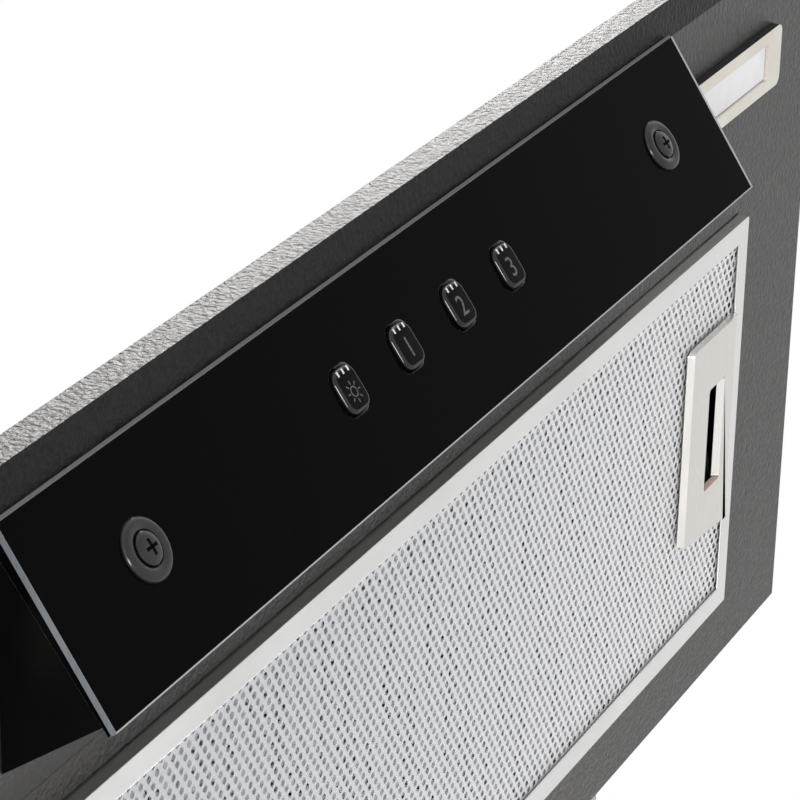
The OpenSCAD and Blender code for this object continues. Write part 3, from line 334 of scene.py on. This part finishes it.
# ---------- control panel ----------
# A strip of black acrylic, polished like glass, whose sawn and eased edges are paler satin, as sawn
# acrylic is, but set in three tones for how light falls: painted shade on the side faces, less on the
# front face, and the rear edge lightest. It lies on the wedge at a slope of 36 degrees and grows thicker
# towards the front, and a narrow pale band along its right and rear edges is a painted highlight.
panel_tilt = math.radians(36)
panel_front = Vector((0, -333.5, -190.3)) * mm
on_panel = Matrix.Translation(panel_front) @ Matrix.Rotation(-panel_tilt, 4, "X")
panel_out = -(on_panel.to_3x3() @ Vector((0, 0, 1)))
down_slope = on_panel.to_3x3() @ Vector((0, 1, 0))
panel_edge = 0.45 * mm
eased_edge = 0.1 * mm
front_step = 1.3 * mm
front_draw = 0.28 * mm
front_lift = 1.82 * mm
rear_step = 0.5 * mm
side_band = 1 * mm
rear_band = 0.35 * mm
side_depth = 1.6 * mm
near_edge = 0.1 * mm
skin = 0.02 * mm
flat_limit = 0.9


def acrylic_edge(name, color, stretch):
    """Sawn acrylic with fine saw marks along one way."""
    edge = new_finish(name, color, 0, 0.3)
    vary(edge, "Roughness", pattern(edge, "Noise", 900, stretch, Detail=2), 0.2, 0.4)
    return edge


def down_from_front(place):
    """How far down the slope a place lies from the panel's front edge."""
    return (place - panel_front).dot(down_slope)


acrylic = new_finish("black_acrylic", (0.0016, 0.0016, 0.0018), 0, 0.06)
set_gloss(acrylic, 0.02)
vary(acrylic, "Roughness", pattern(acrylic, "Noise", 16, Detail=5), 0.04, 0.12)
rear_acrylic = acrylic_edge("acrylic_edge_painted_highlight", (0.38, 0.41, 0.44), (0.03, 1, 1))
side_acrylic = acrylic_edge("side_edge_painted_shade", (0.16, 0.18, 0.2), (1, 0.03, 1))
front_acrylic = acrylic_edge("front_edge_painted_shade", (0.26, 0.26, 0.27), (0.03, 1, 1))

shape = merged_solid("control_panel")
panel_depth = max(down_from_front(v.co) for v in shape.verts)
sharp_front = [e for e in shape.edges if all(down_from_front(v.co) < near_edge for v in e.verts)]
bmesh.ops.bevel(shape, geom=sharp_front, offset=eased_edge, offset_type="OFFSET", segments=1, profile=0.5,
                affect="EDGES", material=-1)
for vert in shape.verts:
    down = down_from_front(vert.co)
    at_front = down < 2 * near_edge
    outside = (vert.co - panel_front).dot(panel_out) > -skin
    if down > panel_depth - near_edge:
        vert.co += down_slope * rear_step
    elif at_front and outside:
        vert.co -= down_slope * front_draw
    elif at_front:
        vert.co.y -= front_step
    if outside:
        vert.co += panel_out * front_lift * (1 - down / panel_depth)
side_line = max(v.co.x for v in shape.verts) - side_band
rear_line = panel_depth + rear_step - rear_band
shallow_line = panel_front + panel_out * (front_lift - side_depth)
face_slope = (panel_out * panel_depth + down_slope * front_lift).normalized()
cut_along(shape, Vector((side_line, 0, 0)), Vector((1, 0, 0)))
cut_along(shape, panel_front + down_slope * rear_line, down_slope)
cut_along(shape, shallow_line, face_slope)
panel = place_piece("panel_strip", shape, [acrylic, rear_acrylic, front_acrylic, side_acrylic], "tray")
# The pale bands are painted highlight, and the side and front edges are painted shade.
for face in panel.data.polygons:
    in_band = face.center.x > side_line or down_from_front(face.center) > rear_line
    if abs(face.normal.x) > flat_limit:
        face.material_index = 3 if (face.center - shallow_line).dot(face_slope) > 0 else 0
    elif in_band or abs(face.normal.dot(panel_out)) < flat_limit:
        face.material_index = 2 if face.normal.y < -facing_limit else 1
round_edges(panel, panel_edge, finish_index=2)
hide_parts("control_panel")

# ---------- cup washers and screws ----------
# Two domed cup washers, turned and painted gloss black, each with a countersunk cross-head screw
# that holds the panel and its wedge to the tray.
screw_x = 138 * mm
screw_row = 22.4 * mm
row_lift = front_lift * (1 - screw_row / panel_depth)
washer_profile = ((1.9, -0.6), (4.2, 0.4), (4.3, 0.95), (4.7, 1.2), (5.4, 1.38), (6.1, 1.38), (6.8, 1.1),
                  (7.25, 0.65), (7.45, 0.2), (7.45, -0.3))
head_profile = ((0, 2.05), (1.5, 2), (2.7, 1.82), (3.5, 1.55), (3.85, 1.2), (3.85, 0.8), (1.9, -0.6))
cross_arm = (1.9 * mm, 0.38 * mm)
cross_depth = 0.9 * mm
cross_top = 2.08 * mm

gloss_paint = new_finish("gloss_black_paint", (0.012, 0.012, 0.012), 0, 0.16)
vary(gloss_paint, "Roughness", pattern(gloss_paint, "Noise", 300, Detail=3), 0.12, 0.24)
relief(gloss_paint, pattern(gloss_paint, "Noise", 900, Detail=1), 0.02 * mm, 0.4)
recess_paint = new_finish("recess_shadow", (0.001, 0.001, 0.001), 0, 0.5)
set_gloss(recess_paint, 0.02)
vary(recess_paint, "Roughness", pattern(recess_paint, "Noise", 900, Detail=1), 0.4, 0.6)


def turned(profile, turns=64):
    """Turns a profile of (radius, height) points in mm round the vertical axis."""
    shape = bmesh.new()
    points = [shape.verts.new((r * mm, 0, h * mm)) for r, h in profile]
    lines = [shape.edges.new(pair) for pair in zip(points, points[1:])]
    bmesh.ops.spin(shape, geom=points + lines, cent=(0, 0, 0), axis=(0, 0, 1), angle=math.tau,
                   steps=turns, use_merge=True)
    bmesh.ops.remove_doubles(shape, verts=shape.verts, dist=same_point)
    bmesh.ops.recalc_face_normals(shape, faces=shape.faces)
    return shape


def cross_recess():
    """A cross of two blocks, whose black top is painted as the shadow of the driver's recess."""
    shape = bmesh.new()
    middle = Matrix.Translation((0, 0, cross_top - cross_depth / 2))
    for along, across in (cross_arm, cross_arm[::-1]):
        bmesh.ops.create_cube(shape, size=1, matrix=middle @ Matrix.Diagonal(
            (2 * along, 2 * across, cross_depth, 1)))
    return shape


def face_out(x, y):
    """The place on the panel whose own z points out of it and whose own y points up the slope."""
    return on_panel @ Matrix.Translation((x, y, -row_lift)) @ Matrix.Rotation(math.pi, 4, "X")


def at_both_screws(make, *sizes):
    """The shape that a helper makes from these sizes, at both of the panel's screws."""
    pair = bmesh.new()
    for x in (-screw_x, screw_x):
        shape = make(*sizes)
        bmesh.ops.transform(shape, matrix=face_out(x, screw_row), verts=shape.verts)
        mesh = bpy.data.meshes.new("one_of_two")
        shape.to_mesh(mesh)
        shape.free()
        pair.from_mesh(mesh)
        bpy.data.meshes.remove(mesh)
    return pair


washers_piece = place_piece("cup_washer_pair", at_both_screws(turned, washer_profile), [gloss_paint],
                            "tray", smooth_to=40)
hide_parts("cup_washers")
heads_piece = place_piece("screw_head_pair", at_both_screws(turned, head_profile), [gloss_paint],
                          "tray", smooth_to=40)
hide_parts("panel_screws")
crosses_piece = place_piece("screw_cross_pair", at_both_screws(cross_recess), [recess_paint], "tray")

# ---------- push buttons ----------
# Four moulded caps in black stand a little out of the panel. Each has a polished soft rim, three small
# ribs at its upper edge, painted pale as highlights, and a pad-printed sign: a lamp, 1, 2 and 3.
button_pitch = 28.5 * mm
button_row_x = -4.25 * mm
cap_size = Vector((9.8, 11.3, 0)) * mm
cap_corner = 3 * mm
cap_proud = 1.2 * mm
cap_rim = 0.9 * mm
rib_size = Vector((0.6, 1.3, 0.4)) * mm
rib_pitch = 2.3 * mm
rib_inset = 1.1 * mm
rib_sunk = 0.1 * mm
numeral_size = 7.28 * mm
ink_height = 0.06 * mm
sign_drop = 0.8 * mm
signs = (("light", "lamp"), ("low", "1"), ("medium", "2"), ("high", "3"))

cap_gloss = new_finish("cap_gloss", (0.002, 0.002, 0.002), 0, 0.12)
set_gloss(cap_gloss, 0.05)
vary(cap_gloss, "Roughness", pattern(cap_gloss, "Noise", 400, Detail=2), 0.1, 0.18)
rim_polish = new_finish("rim_polish", (0.002, 0.002, 0.002), 0, 0.1)
set_gloss(rim_polish, 0.55)
vary(rim_polish, "Roughness", pattern(rim_polish, "Noise", 400, Detail=2), 0.06, 0.16)
# The ribs' pale colour is a painted highlight.
rib_highlight_paint = new_finish("rib_painted_highlight", (0.7, 0.7, 0.7), 0, 0.3)
vary(rib_highlight_paint, "Base Color", pattern(rib_highlight_paint, "Noise", 1500, Detail=2), (0.6, 0.6, 0.6),
     (0.85, 0.85, 0.85))
print_ink = new_finish("print_ink", (0.08, 0.08, 0.08), 0, 0.5)
vary(print_ink, "Base Color", pattern(print_ink, "Noise", 1500, Detail=2), (0.05, 0.05, 0.05),
     (0.12, 0.12, 0.12))


def add_block(shape, centre, size, turn=0):
    """Adds a small upright block; turn is about its own vertical."""
    bmesh.ops.create_cube(shape, size=1, matrix=Matrix.Translation(centre) @
                          Matrix.Rotation(turn, 4, "Z") @ Matrix.Diagonal((*size, 1)))


def cap_shape():
    """A rounded cap, its own z out of the panel, with its top face flat inside a soft rim."""
    shape = bmesh.new()
    add_block(shape, (0, 0, -cap_proud / 2), (cap_size.x, cap_size.y, 3 * cap_proud))
    corners = [e for e in shape.edges if abs(e.verts[0].co.z - e.verts[1].co.z) > cap_proud]
    bmesh.ops.bevel(shape, geom=corners, offset=cap_corner, offset_type="OFFSET", segments=8,
                    profile=0.5, affect="EDGES", material=-1)
    top = max(v.co.z for v in shape.verts)
    rim = [e for e in shape.edges if all(v.co.z > top - 0.01 * mm for v in e.verts)]
    bmesh.ops.bevel(shape, geom=rim, offset=cap_rim, offset_type="OFFSET", segments=6, profile=0.5,
                    affect="EDGES", material=1)
    return shape


def lamp_sign(shape, height):
    """Eight short rays round a ring of 16 blocks; each row says how many, how far out and how large."""
    for count, reach, along, across in ((8, 2.3, 1, 0.35), (16, 1.2, 0.35, 0.5)):
        for i in range(count):
            angle = i * math.tau / count
            add_block(shape, (reach * mm * math.cos(angle), reach * mm * math.sin(angle), height),
                      (along * mm, across * mm, ink_height), angle)


def number_sign(shape, number, height):
    """A plain numeral, made a mesh from a text object."""
    curve = bpy.data.curves.new("numeral", "FONT")
    curve.body = number
    curve.size = numeral_size
    curve.extrude = ink_height / 2
    curve.align_x = "CENTER"
    curve.align_y = "CENTER"
    text = bpy.data.objects.new("numeral", curve)
    mesh = bpy.data.meshes.new_from_object(text)
    mesh.transform(Matrix.Translation((0, 0, height)))
    shape.from_mesh(mesh)
    bpy.data.objects.remove(text)
    bpy.data.curves.remove(curve)


for i, (name, sign) in enumerate(signs):
    x = button_row_x + (i - 1.5) * button_pitch
    body = "button_" + name
    on_face = face_out(x, screw_row)
    shape = cap_shape()
    bmesh.ops.transform(shape, matrix=on_face, verts=shape.verts)
    cap = place_piece(name + "_cap", shape, [cap_gloss, rim_polish], body, smooth_to=50)
    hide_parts(body)
    shape = bmesh.new()
    for rib in (-1, 0, 1):
        add_block(shape, (rib * rib_pitch, cap_size.y / 2 - rib_inset, cap_proud - rib_sunk), rib_size)
    bmesh.ops.transform(shape, matrix=on_face, verts=shape.verts)
    ribs = place_piece(name + "_ribs", shape, [rib_highlight_paint], body)
    shape = bmesh.new()
    if sign == "lamp":
        lamp_sign(shape, cap_proud)
    else:
        number_sign(shape, sign, cap_proud)
    bmesh.ops.transform(shape, matrix=on_face @ Matrix.Translation((0, -sign_drop, 0)), verts=shape.verts)
    mark = place_piece(name + "_sign", shape, [print_ink], body)

# ---------- lamps ----------
# Each lamp is a die-cast bezel in a champagne lacquer, let into the tray round a frosted white diffuser
# that covers the LED board. The bezel's wall along its front is painted black, a painted shade.
bezel_edge = 0.6 * mm
front_shade_depth = 1 * mm
champagne = new_finish("champagne_lacquer", (0.8, 0.76, 0.69), 0.75, 0.32)
vary(champagne, "Base Color", pattern(champagne, "Noise", 35, Detail=2), (0.76, 0.71, 0.64),
     (0.85, 0.82, 0.75))
relief(champagne, pattern(champagne, "Noise", 1400, Detail=1), 0.02 * mm, 0.4)
diffuser = new_finish("frosted_diffuser", (0.87, 0.87, 0.88), 0, 0.55)
vary(diffuser, "Base Color", pattern(diffuser, "Noise", 200, Detail=2), (0.85, 0.85, 0.86),
     (0.89, 0.89, 0.9))
relief(diffuser, pattern(diffuser, "Noise", 1600, Detail=1), 0.02 * mm, 0.5)
white_board = new_finish("white_board", (0.7, 0.7, 0.7), 0, 0.5)
vary(white_board, "Base Color", pattern(white_board, "Voronoi", 300), (0.6, 0.6, 0.6), (0.75, 0.75, 0.75))
bezel_front_shade = new_finish("bezel_front_painted_shade", (0.006, 0.006, 0.006), 0, 0.6)
vary(bezel_front_shade, "Roughness", pattern(bezel_front_shade, "Noise", 400, Detail=2), 0.5, 0.7)
for side in ("left", "right"):
    bezel = place_piece("lamp_bezel_" + side + "_finished", merged_solid("lamp_bezel_" + side),
                        [champagne, bezel_front_shade], "tray")
    bezel_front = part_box("lamp_bezel_" + side)[0].y
    # The front wall's faces take the black painted shade.
    for face in bezel.data.polygons:
        if face.normal.y < -facing_limit and face.center.y < bezel_front + front_shade_depth:
            face.material_index = 1
    round_edges(bezel, bezel_edge, 3)
    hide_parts("lamp_bezel_" + side)
    dress("lamp_lens_" + side, "tray", diffuser, 0.2 * mm)
    dress("lamp_board_" + side, "tray", white_board, 0)

# ---------- filter frame ----------
# The frame is folded from satin aluminium strip with fine rolling lines along it, mitred at its
# corners, and two zinc hooks at its left end hang it in the tray.
frame_edge = 0.45 * mm
satin_aluminium = new_finish("satin_aluminium", (0.84, 0.84, 0.83), 1, 0.34)
rolling = pattern(satin_aluminium, "Noise", 1500, (0.01, 1, 1), Detail=3)
vary(satin_aluminium, "Roughness", rolling, 0.28, 0.42)
vary(satin_aluminium, "Base Color", pattern(satin_aluminium, "Noise", 25, Detail=3),
     (0.8, 0.8, 0.79), (0.88, 0.88, 0.87))
relief(satin_aluminium, rolling, 0.02 * mm, 0.4)
dress("filter_frame", "filter", satin_aluminium, frame_edge, 3)
dress("filter_hooks", "filter", zinc, 0.2 * mm)

# ---------- filter mesh ----------
# Slit and stretched aluminium foil: staggered diamond holes between twisted strands. A fine face
# sheet lies over two folded sheets of wider mesh and a back sheet, and the frame clamps them.
opening_half_w = 236 * mm
opening_y = (-252.5 * mm, -131 * mm)
face_z = -192.75 * mm
fold_pitch = 12 * mm
fold_rise = 1.8 * mm
pocket_lo, pocket_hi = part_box("latch_cup")

foil_and_painted_light = new_finish("bright_foil_painted_gradient", (0.78, 0.79, 0.81), 0.6, 0.4)
# The face and back sheets are painted darker towards the left and lighter to the right, as painted light
# across the filter.
vary(foil_and_painted_light, "Base Color", pattern(foil_and_painted_light, "Wave", 0.3, **{"Phase Offset": math.pi / 2}),
     (0.56, 0.58, 0.62), (0.9, 0.9, 0.91), (0, 1))
vary(foil_and_painted_light, "Roughness", pattern(foil_and_painted_light, "Noise", 500, Detail=2), 0.34, 0.55)
inner_foil = new_finish("inner_foil", (0.96, 0.97, 0.98), 0.25, 0.5)
vary(inner_foil, "Base Color", pattern(inner_foil, "Noise", 220, Detail=2), (0.93, 0.94, 0.97),
     (0.98, 0.98, 0.98))


def stretched_cell(shape, centre, pitch, hole, twist, wall):
    """One diamond: a face reaching to the middle of the strands, inset to a twisted, open ring."""
    a, b = pitch
    x, y = centre
    flank = (a * a + b * b) / (4 * b)
    notch = b / 2 - flank
    wide, high = hole[0] / 2, hole[1] / 2
    lean = 0.35 * high
    outer = ((a / 2, -notch), (0, -flank), (-a / 2, -notch), (-a / 2, notch), (0, flank), (a / 2, notch))
    rim = ((wide, -lean, -twist), (0, -high, 0), (-wide, -lean, twist),
           (-wide, lean, twist), (0, high, 0), (wide, lean, -twist))
    middle = shape.faces.new([shape.verts.new((x + p, y + q, 0)) for p, q in outer])
    bmesh.ops.inset_individual(shape, faces=[middle], thickness=wide / 2)
    for vert, (p, q, z) in zip(middle.verts, rim):
        vert.co = (x + p, y + q, z)
    if wall:
        middle = bmesh.ops.extrude_discrete_faces(shape, faces=[middle])["faces"][0]
        bmesh.ops.translate(shape, verts=middle.verts, vec=(0, 0, wall))
    bmesh.ops.delete(shape, geom=[middle], context="FACES_ONLY")


def repeat(shape, step, count):
    """Repeats all that the shape holds along a step, count times in all."""
    everything = shape.verts[:] + shape.edges[:] + shape.faces[:]
    bmesh.ops.spin(shape, geom=everything, cent=(0, 0, 0), axis=(0, 0, 1), dvec=step, angle=0,
                   steps=count - 1, use_duplicate=True)


def stretched_sheet(pitch, hole, twist, wall, height):
    """A sheet of stretched foil over the filter's opening, cut out round the latch's pocket."""
    shape = bmesh.new()
    a, b = pitch
    for centre in ((0, 0), (a / 2, b / 2)):
        stretched_cell(shape, centre, pitch, hole, twist, wall)
    columns = math.ceil(2 * opening_half_w / a)
    rows = math.ceil((opening_y[1] - opening_y[0]) / b)
    repeat(shape, (a, 0, 0), columns)
    repeat(shape, (0, b, 0), rows)
    bmesh.ops.remove_doubles(shape, verts=shape.verts, dist=same_point)
    bmesh.ops.translate(shape, verts=shape.verts,
                        vec=(-columns * a / 2 + a / 4, sum(opening_y) / 2 - rows * b / 2 + b / 4, height))
    hidden = [f for f in shape.faces if pocket_lo.x < f.calc_center_median().x < pocket_hi.x
              and pocket_lo.y < f.calc_center_median().y < pocket_hi.y]
    bmesh.ops.delete(shape, geom=hidden, context="FACES")
    return shape


def fold_sheet(shape, pitch, rise, shift):
    """Folds a flat sheet into a zigzag whose folds run along the filter's depth."""
    for vert in shape.verts:
        place = (vert.co.x / pitch + shift) % 1
        vert.co.z += rise * (1 - abs(2 * place - 1))


# Each sheet's piece, node, foil, cell pitch, hole, twist, rim wall, height over the face and fold shift.
sheets = (
    ("face_mesh_sheet", "filter_face_mesh", foil_and_painted_light, (3.57, 5.18), (1.3, 2.3), 0.18, 0.12, 0, None),
    ("lower_fold_sheet", "filter_fold_lower", inner_foil, (4.11, 5.6), (0.6, 1.1), 0.2, 0, 0.55, 0),
    ("upper_fold_sheet", "filter_fold_upper", inner_foil, (4.6, 6.4), (1.3, 2.2), 0.2, 0, 3.8, 0.5),
    ("back_mesh_sheet", "filter_back_mesh", foil_and_painted_light, (5.2, 8), (3.2, 5), 0.3, 0, 6.9, None))
for name, node, finish, pitch, hole, twist, wall, above_face, shift in sheets:
    shape = stretched_sheet([side * mm for side in pitch], [side * mm for side in hole], twist * mm,
                            wall * mm, face_z + above_face * mm)
    if shift is not None:
        fold_sheet(shape, fold_pitch, fold_rise, shift)
    sheet = place_piece(name, shape, [finish], "filter", smooth_to=20)
    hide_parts(node)

# ---------- latch ----------
# The latch plate is pressed from satin stainless steel, brushed across the filter. Its left edge and
# the slot's right edge are folded in and flare a little, and their walls are painted pale as a highlight;
# the wall at the slot's rear is coloured brown. It slides over a zinc cup, which, like the plate's parts
# behind its face, is painted dark as the shade inside the slot.
satin_steel = new_finish("satin_latch_steel", (0.78, 0.76, 0.72), 1, 0.3)
brushing = pattern(satin_steel, "Noise", 1800, (1, 0.02, 1), Detail=2)
vary(satin_steel, "Roughness", brushing, 0.24, 0.4)
relief(satin_steel, brushing, 0.02 * mm, 0.4)
lit_wall_steel = new_finish("latch_wall_painted_highlight", (0.93, 0.91, 0.88), 0.9, 0.3)
vary(lit_wall_steel, "Roughness", pattern(lit_wall_steel, "Noise", 700, (1, 0.05, 1), Detail=2), 0.22, 0.4)
warm_steel = new_finish("brown_slot_wall_steel", (0.42, 0.33, 0.28), 0.1, 0.5)
vary(warm_steel, "Base Color", pattern(warm_steel, "Noise", 300, Detail=2), (0.6, 0.46, 0.38),
     (0.8, 0.62, 0.52))
# Zinc coloured dark, a painted shade for the inside of the slot and pocket.
shade_dark_zinc = new_finish("zinc_painted_shade", (0.2, 0.19, 0.18), 0.8, 0.45)
vary(shade_dark_zinc, "Base Color", pattern(shade_dark_zinc, "Noise", 90, Detail=4), (0.12, 0.11, 0.1),
     (0.28, 0.27, 0.26))
dress("latch_cup", "filter", shade_dark_zinc, 0.25 * mm)
plate_edge = 0.35 * mm
plate_left, plate_right, plate_rear = 197.3 * mm, 233.7 * mm, -162 * mm
slot_right, slot_rear = 223.9 * mm, -176.9 * mm
wall_end_z = -193.5 * mm
wall_flare, slot_flare = 0.9 * mm, 1.3 * mm
right_trim, rear_growth = 2.5 * mm, 2.5 * mm
corner_width, corner_cut = 6 * mm, 1.2 * mm
near, border = 0.15 * mm, 1.5 * mm
behind_end, wall_limit = 0.1 * mm, 0.5
shape = merged_solid("latch_plate")
for vert in shape.verts:
    at_wall_end = abs(vert.co.z - wall_end_z) < near
    if at_wall_end and abs(vert.co.x - plate_left) < near:
        vert.co.x -= wall_flare
    elif at_wall_end and abs(vert.co.x - slot_right) < near:
        vert.co.x -= slot_flare
    elif vert.co.z < wall_end_z + near and vert.co.x > plate_right - border:
        vert.co.x -= right_trim
    if vert.co.z < wall_end_z + near and vert.co.y > plate_rear - border:
        vert.co.y += rear_growth if vert.co.x > plate_left + corner_width else -corner_cut
bmesh.ops.recalc_face_normals(shape, faces=shape.faces)
plate = place_piece("latch_plate_finished", shape, [satin_steel, lit_wall_steel, shade_dark_zinc, warm_steel],
                    "latch")
# Faces behind the plate's face take the dark painted shade, walls facing left the pale painted highlight.
for face in plate.data.polygons:
    if face.center.z > wall_end_z + behind_end:
        face.material_index = 2
    elif face.normal.x < -wall_limit:
        face.material_index = 1
    elif face.normal.y < -wall_limit and abs(face.center.y - slot_rear) < border:
        face.material_index = 3
round_edges(plate, plate_edge, 3)
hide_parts("latch_plate")

# ---------- studio ----------
# A round pale floor well below the hood, clear from below and a little brighter to the camera, in plain
# white surroundings. Softboxes stand at the front right, low behind, overhead and weakly at the lower
# left, with a small one for the glints.
floor_z = -0.9
floor_radius = 2.3
floor_eye_light = 0.3
ambient_light = 0.72
scene = bpy.context.scene
scene.view_settings.view_transform = "Standard"

floor_paint = new_finish("pale_floor", (0.88, 0.88, 0.88), 0, 0.9)
floor_nodes = floor_paint.node_tree.nodes
floor_links = floor_paint.node_tree.links
underside = floor_nodes.new("ShaderNodeNewGeometry")
clear = floor_nodes.new("ShaderNodeBsdfTransparent")
side_mix = floor_nodes.new("ShaderNodeMixShader")
floor_links.new(underside.outputs["Backfacing"], side_mix.inputs["Fac"])
floor_links.new(floor_nodes["Principled BSDF"].outputs["BSDF"], side_mix.inputs[1])
floor_links.new(clear.outputs["BSDF"], side_mix.inputs[2])
eye_light = floor_nodes.new("ShaderNodeMath")
eye_light.operation = "MULTIPLY"
eye_light.inputs[1].default_value = floor_eye_light
floor_links.new(floor_nodes.new("ShaderNodeLightPath").outputs["Is Camera Ray"], eye_light.inputs[0])
floor_links.new(eye_light.outputs["Value"], floor_nodes["Principled BSDF"].inputs["Emission Strength"])
floor_nodes["Principled BSDF"].inputs["Emission Color"].default_value = (1, 1, 1, 1)
floor_links.new(side_mix.outputs["Shader"], floor_nodes["Material Output"].inputs["Surface"])
floor_shape = bmesh.new()
bmesh.ops.create_circle(floor_shape, cap_ends=True, segments=96, radius=floor_radius,
                        matrix=Matrix.Translation((0, 0, floor_z)))
floor_mesh = bpy.data.meshes.new("floor")
floor_shape.to_mesh(floor_mesh)
floor_shape.free()
floor_mesh.materials.append(floor_paint)
floor = bpy.data.objects.new("floor", floor_mesh)
scene.collection.objects.link(floor)

softboxes = (("front_right_box", (3.0, -1.75, 1.27), (1.5, 1.5), 6, 40, (1, 0.98, 0.96)),
             ("rear_box", (1.9, 2.6, -0.74), (1.8, 0.3), 3, 60, (1, 0.96, 0.92)),
             ("overhead_box", (-0.4, 0.3, 2.4), (1.8, 1.8), 2, 70, (1, 1, 1)),
             ("lower_left_box", (-2.4, -2.1, -0.6), (1.4, 0.5), 0.6, 90, (0.94, 0.97, 1)),
             ("glint_box", (-1.3, -0.6, -0.75), (0.45, 0.45), 4.5, 120, (1, 1, 1)))
aim = Vector((0, -0.22, -0.19))
for name, place, size, power, beam, tint in softboxes:
    lamp = bpy.data.lights.new(name, "AREA")
    lamp.shape = "RECTANGLE"
    lamp.size, lamp.size_y = size
    lamp.energy = power
    lamp.spread = math.radians(beam)
    lamp.color = tint
    box = bpy.data.objects.new(name, lamp)
    box.matrix_world = Matrix.Translation(place) @ (
        (aim - Vector(place)).to_track_quat("-Z", "Y").to_matrix().to_4x4())
    box.visible_camera = False
    scene.collection.objects.link(box)

world = bpy.data.worlds.new("white_surroundings")
scene.world = world
world.use_nodes = True
sky_nodes = world.node_tree.nodes
sky_links = world.node_tree.links
ambient = sky_nodes["Background"]
ambient.inputs["Color"].default_value = (1, 1, 1, 1)
ambient.inputs["Strength"].default_value = ambient_light
backdrop = sky_nodes.new("ShaderNodeBackground")
backdrop.inputs["Color"].default_value = (1, 1, 1, 1)
backdrop.inputs["Strength"].default_value = 1
path = sky_nodes.new("ShaderNodeLightPath")
seen = sky_nodes.new("ShaderNodeMath")
seen.operation = "ADD"
seen.use_clamp = True
seen_through = sky_nodes.new("ShaderNodeMath")
seen_through.operation = "ADD"
seen_through.use_clamp = True
sky_mix = sky_nodes.new("ShaderNodeMixShader")
sky_links.new(path.outputs["Is Camera Ray"], seen.inputs[0])
sky_links.new(path.outputs["Is Glossy Ray"], seen.inputs[1])
sky_links.new(seen.outputs["Value"], seen_through.inputs[0])
sky_links.new(path.outputs["Is Transmission Ray"], seen_through.inputs[1])
sky_links.new(seen_through.outputs["Value"], sky_mix.inputs["Fac"])
sky_links.new(ambient.outputs["Background"], sky_mix.inputs[1])
sky_links.new(backdrop.outputs["Background"], sky_mix.inputs[2])
sky_links.new(sky_mix.outputs["Shader"], sky_nodes["World Output"].inputs["Surface"])
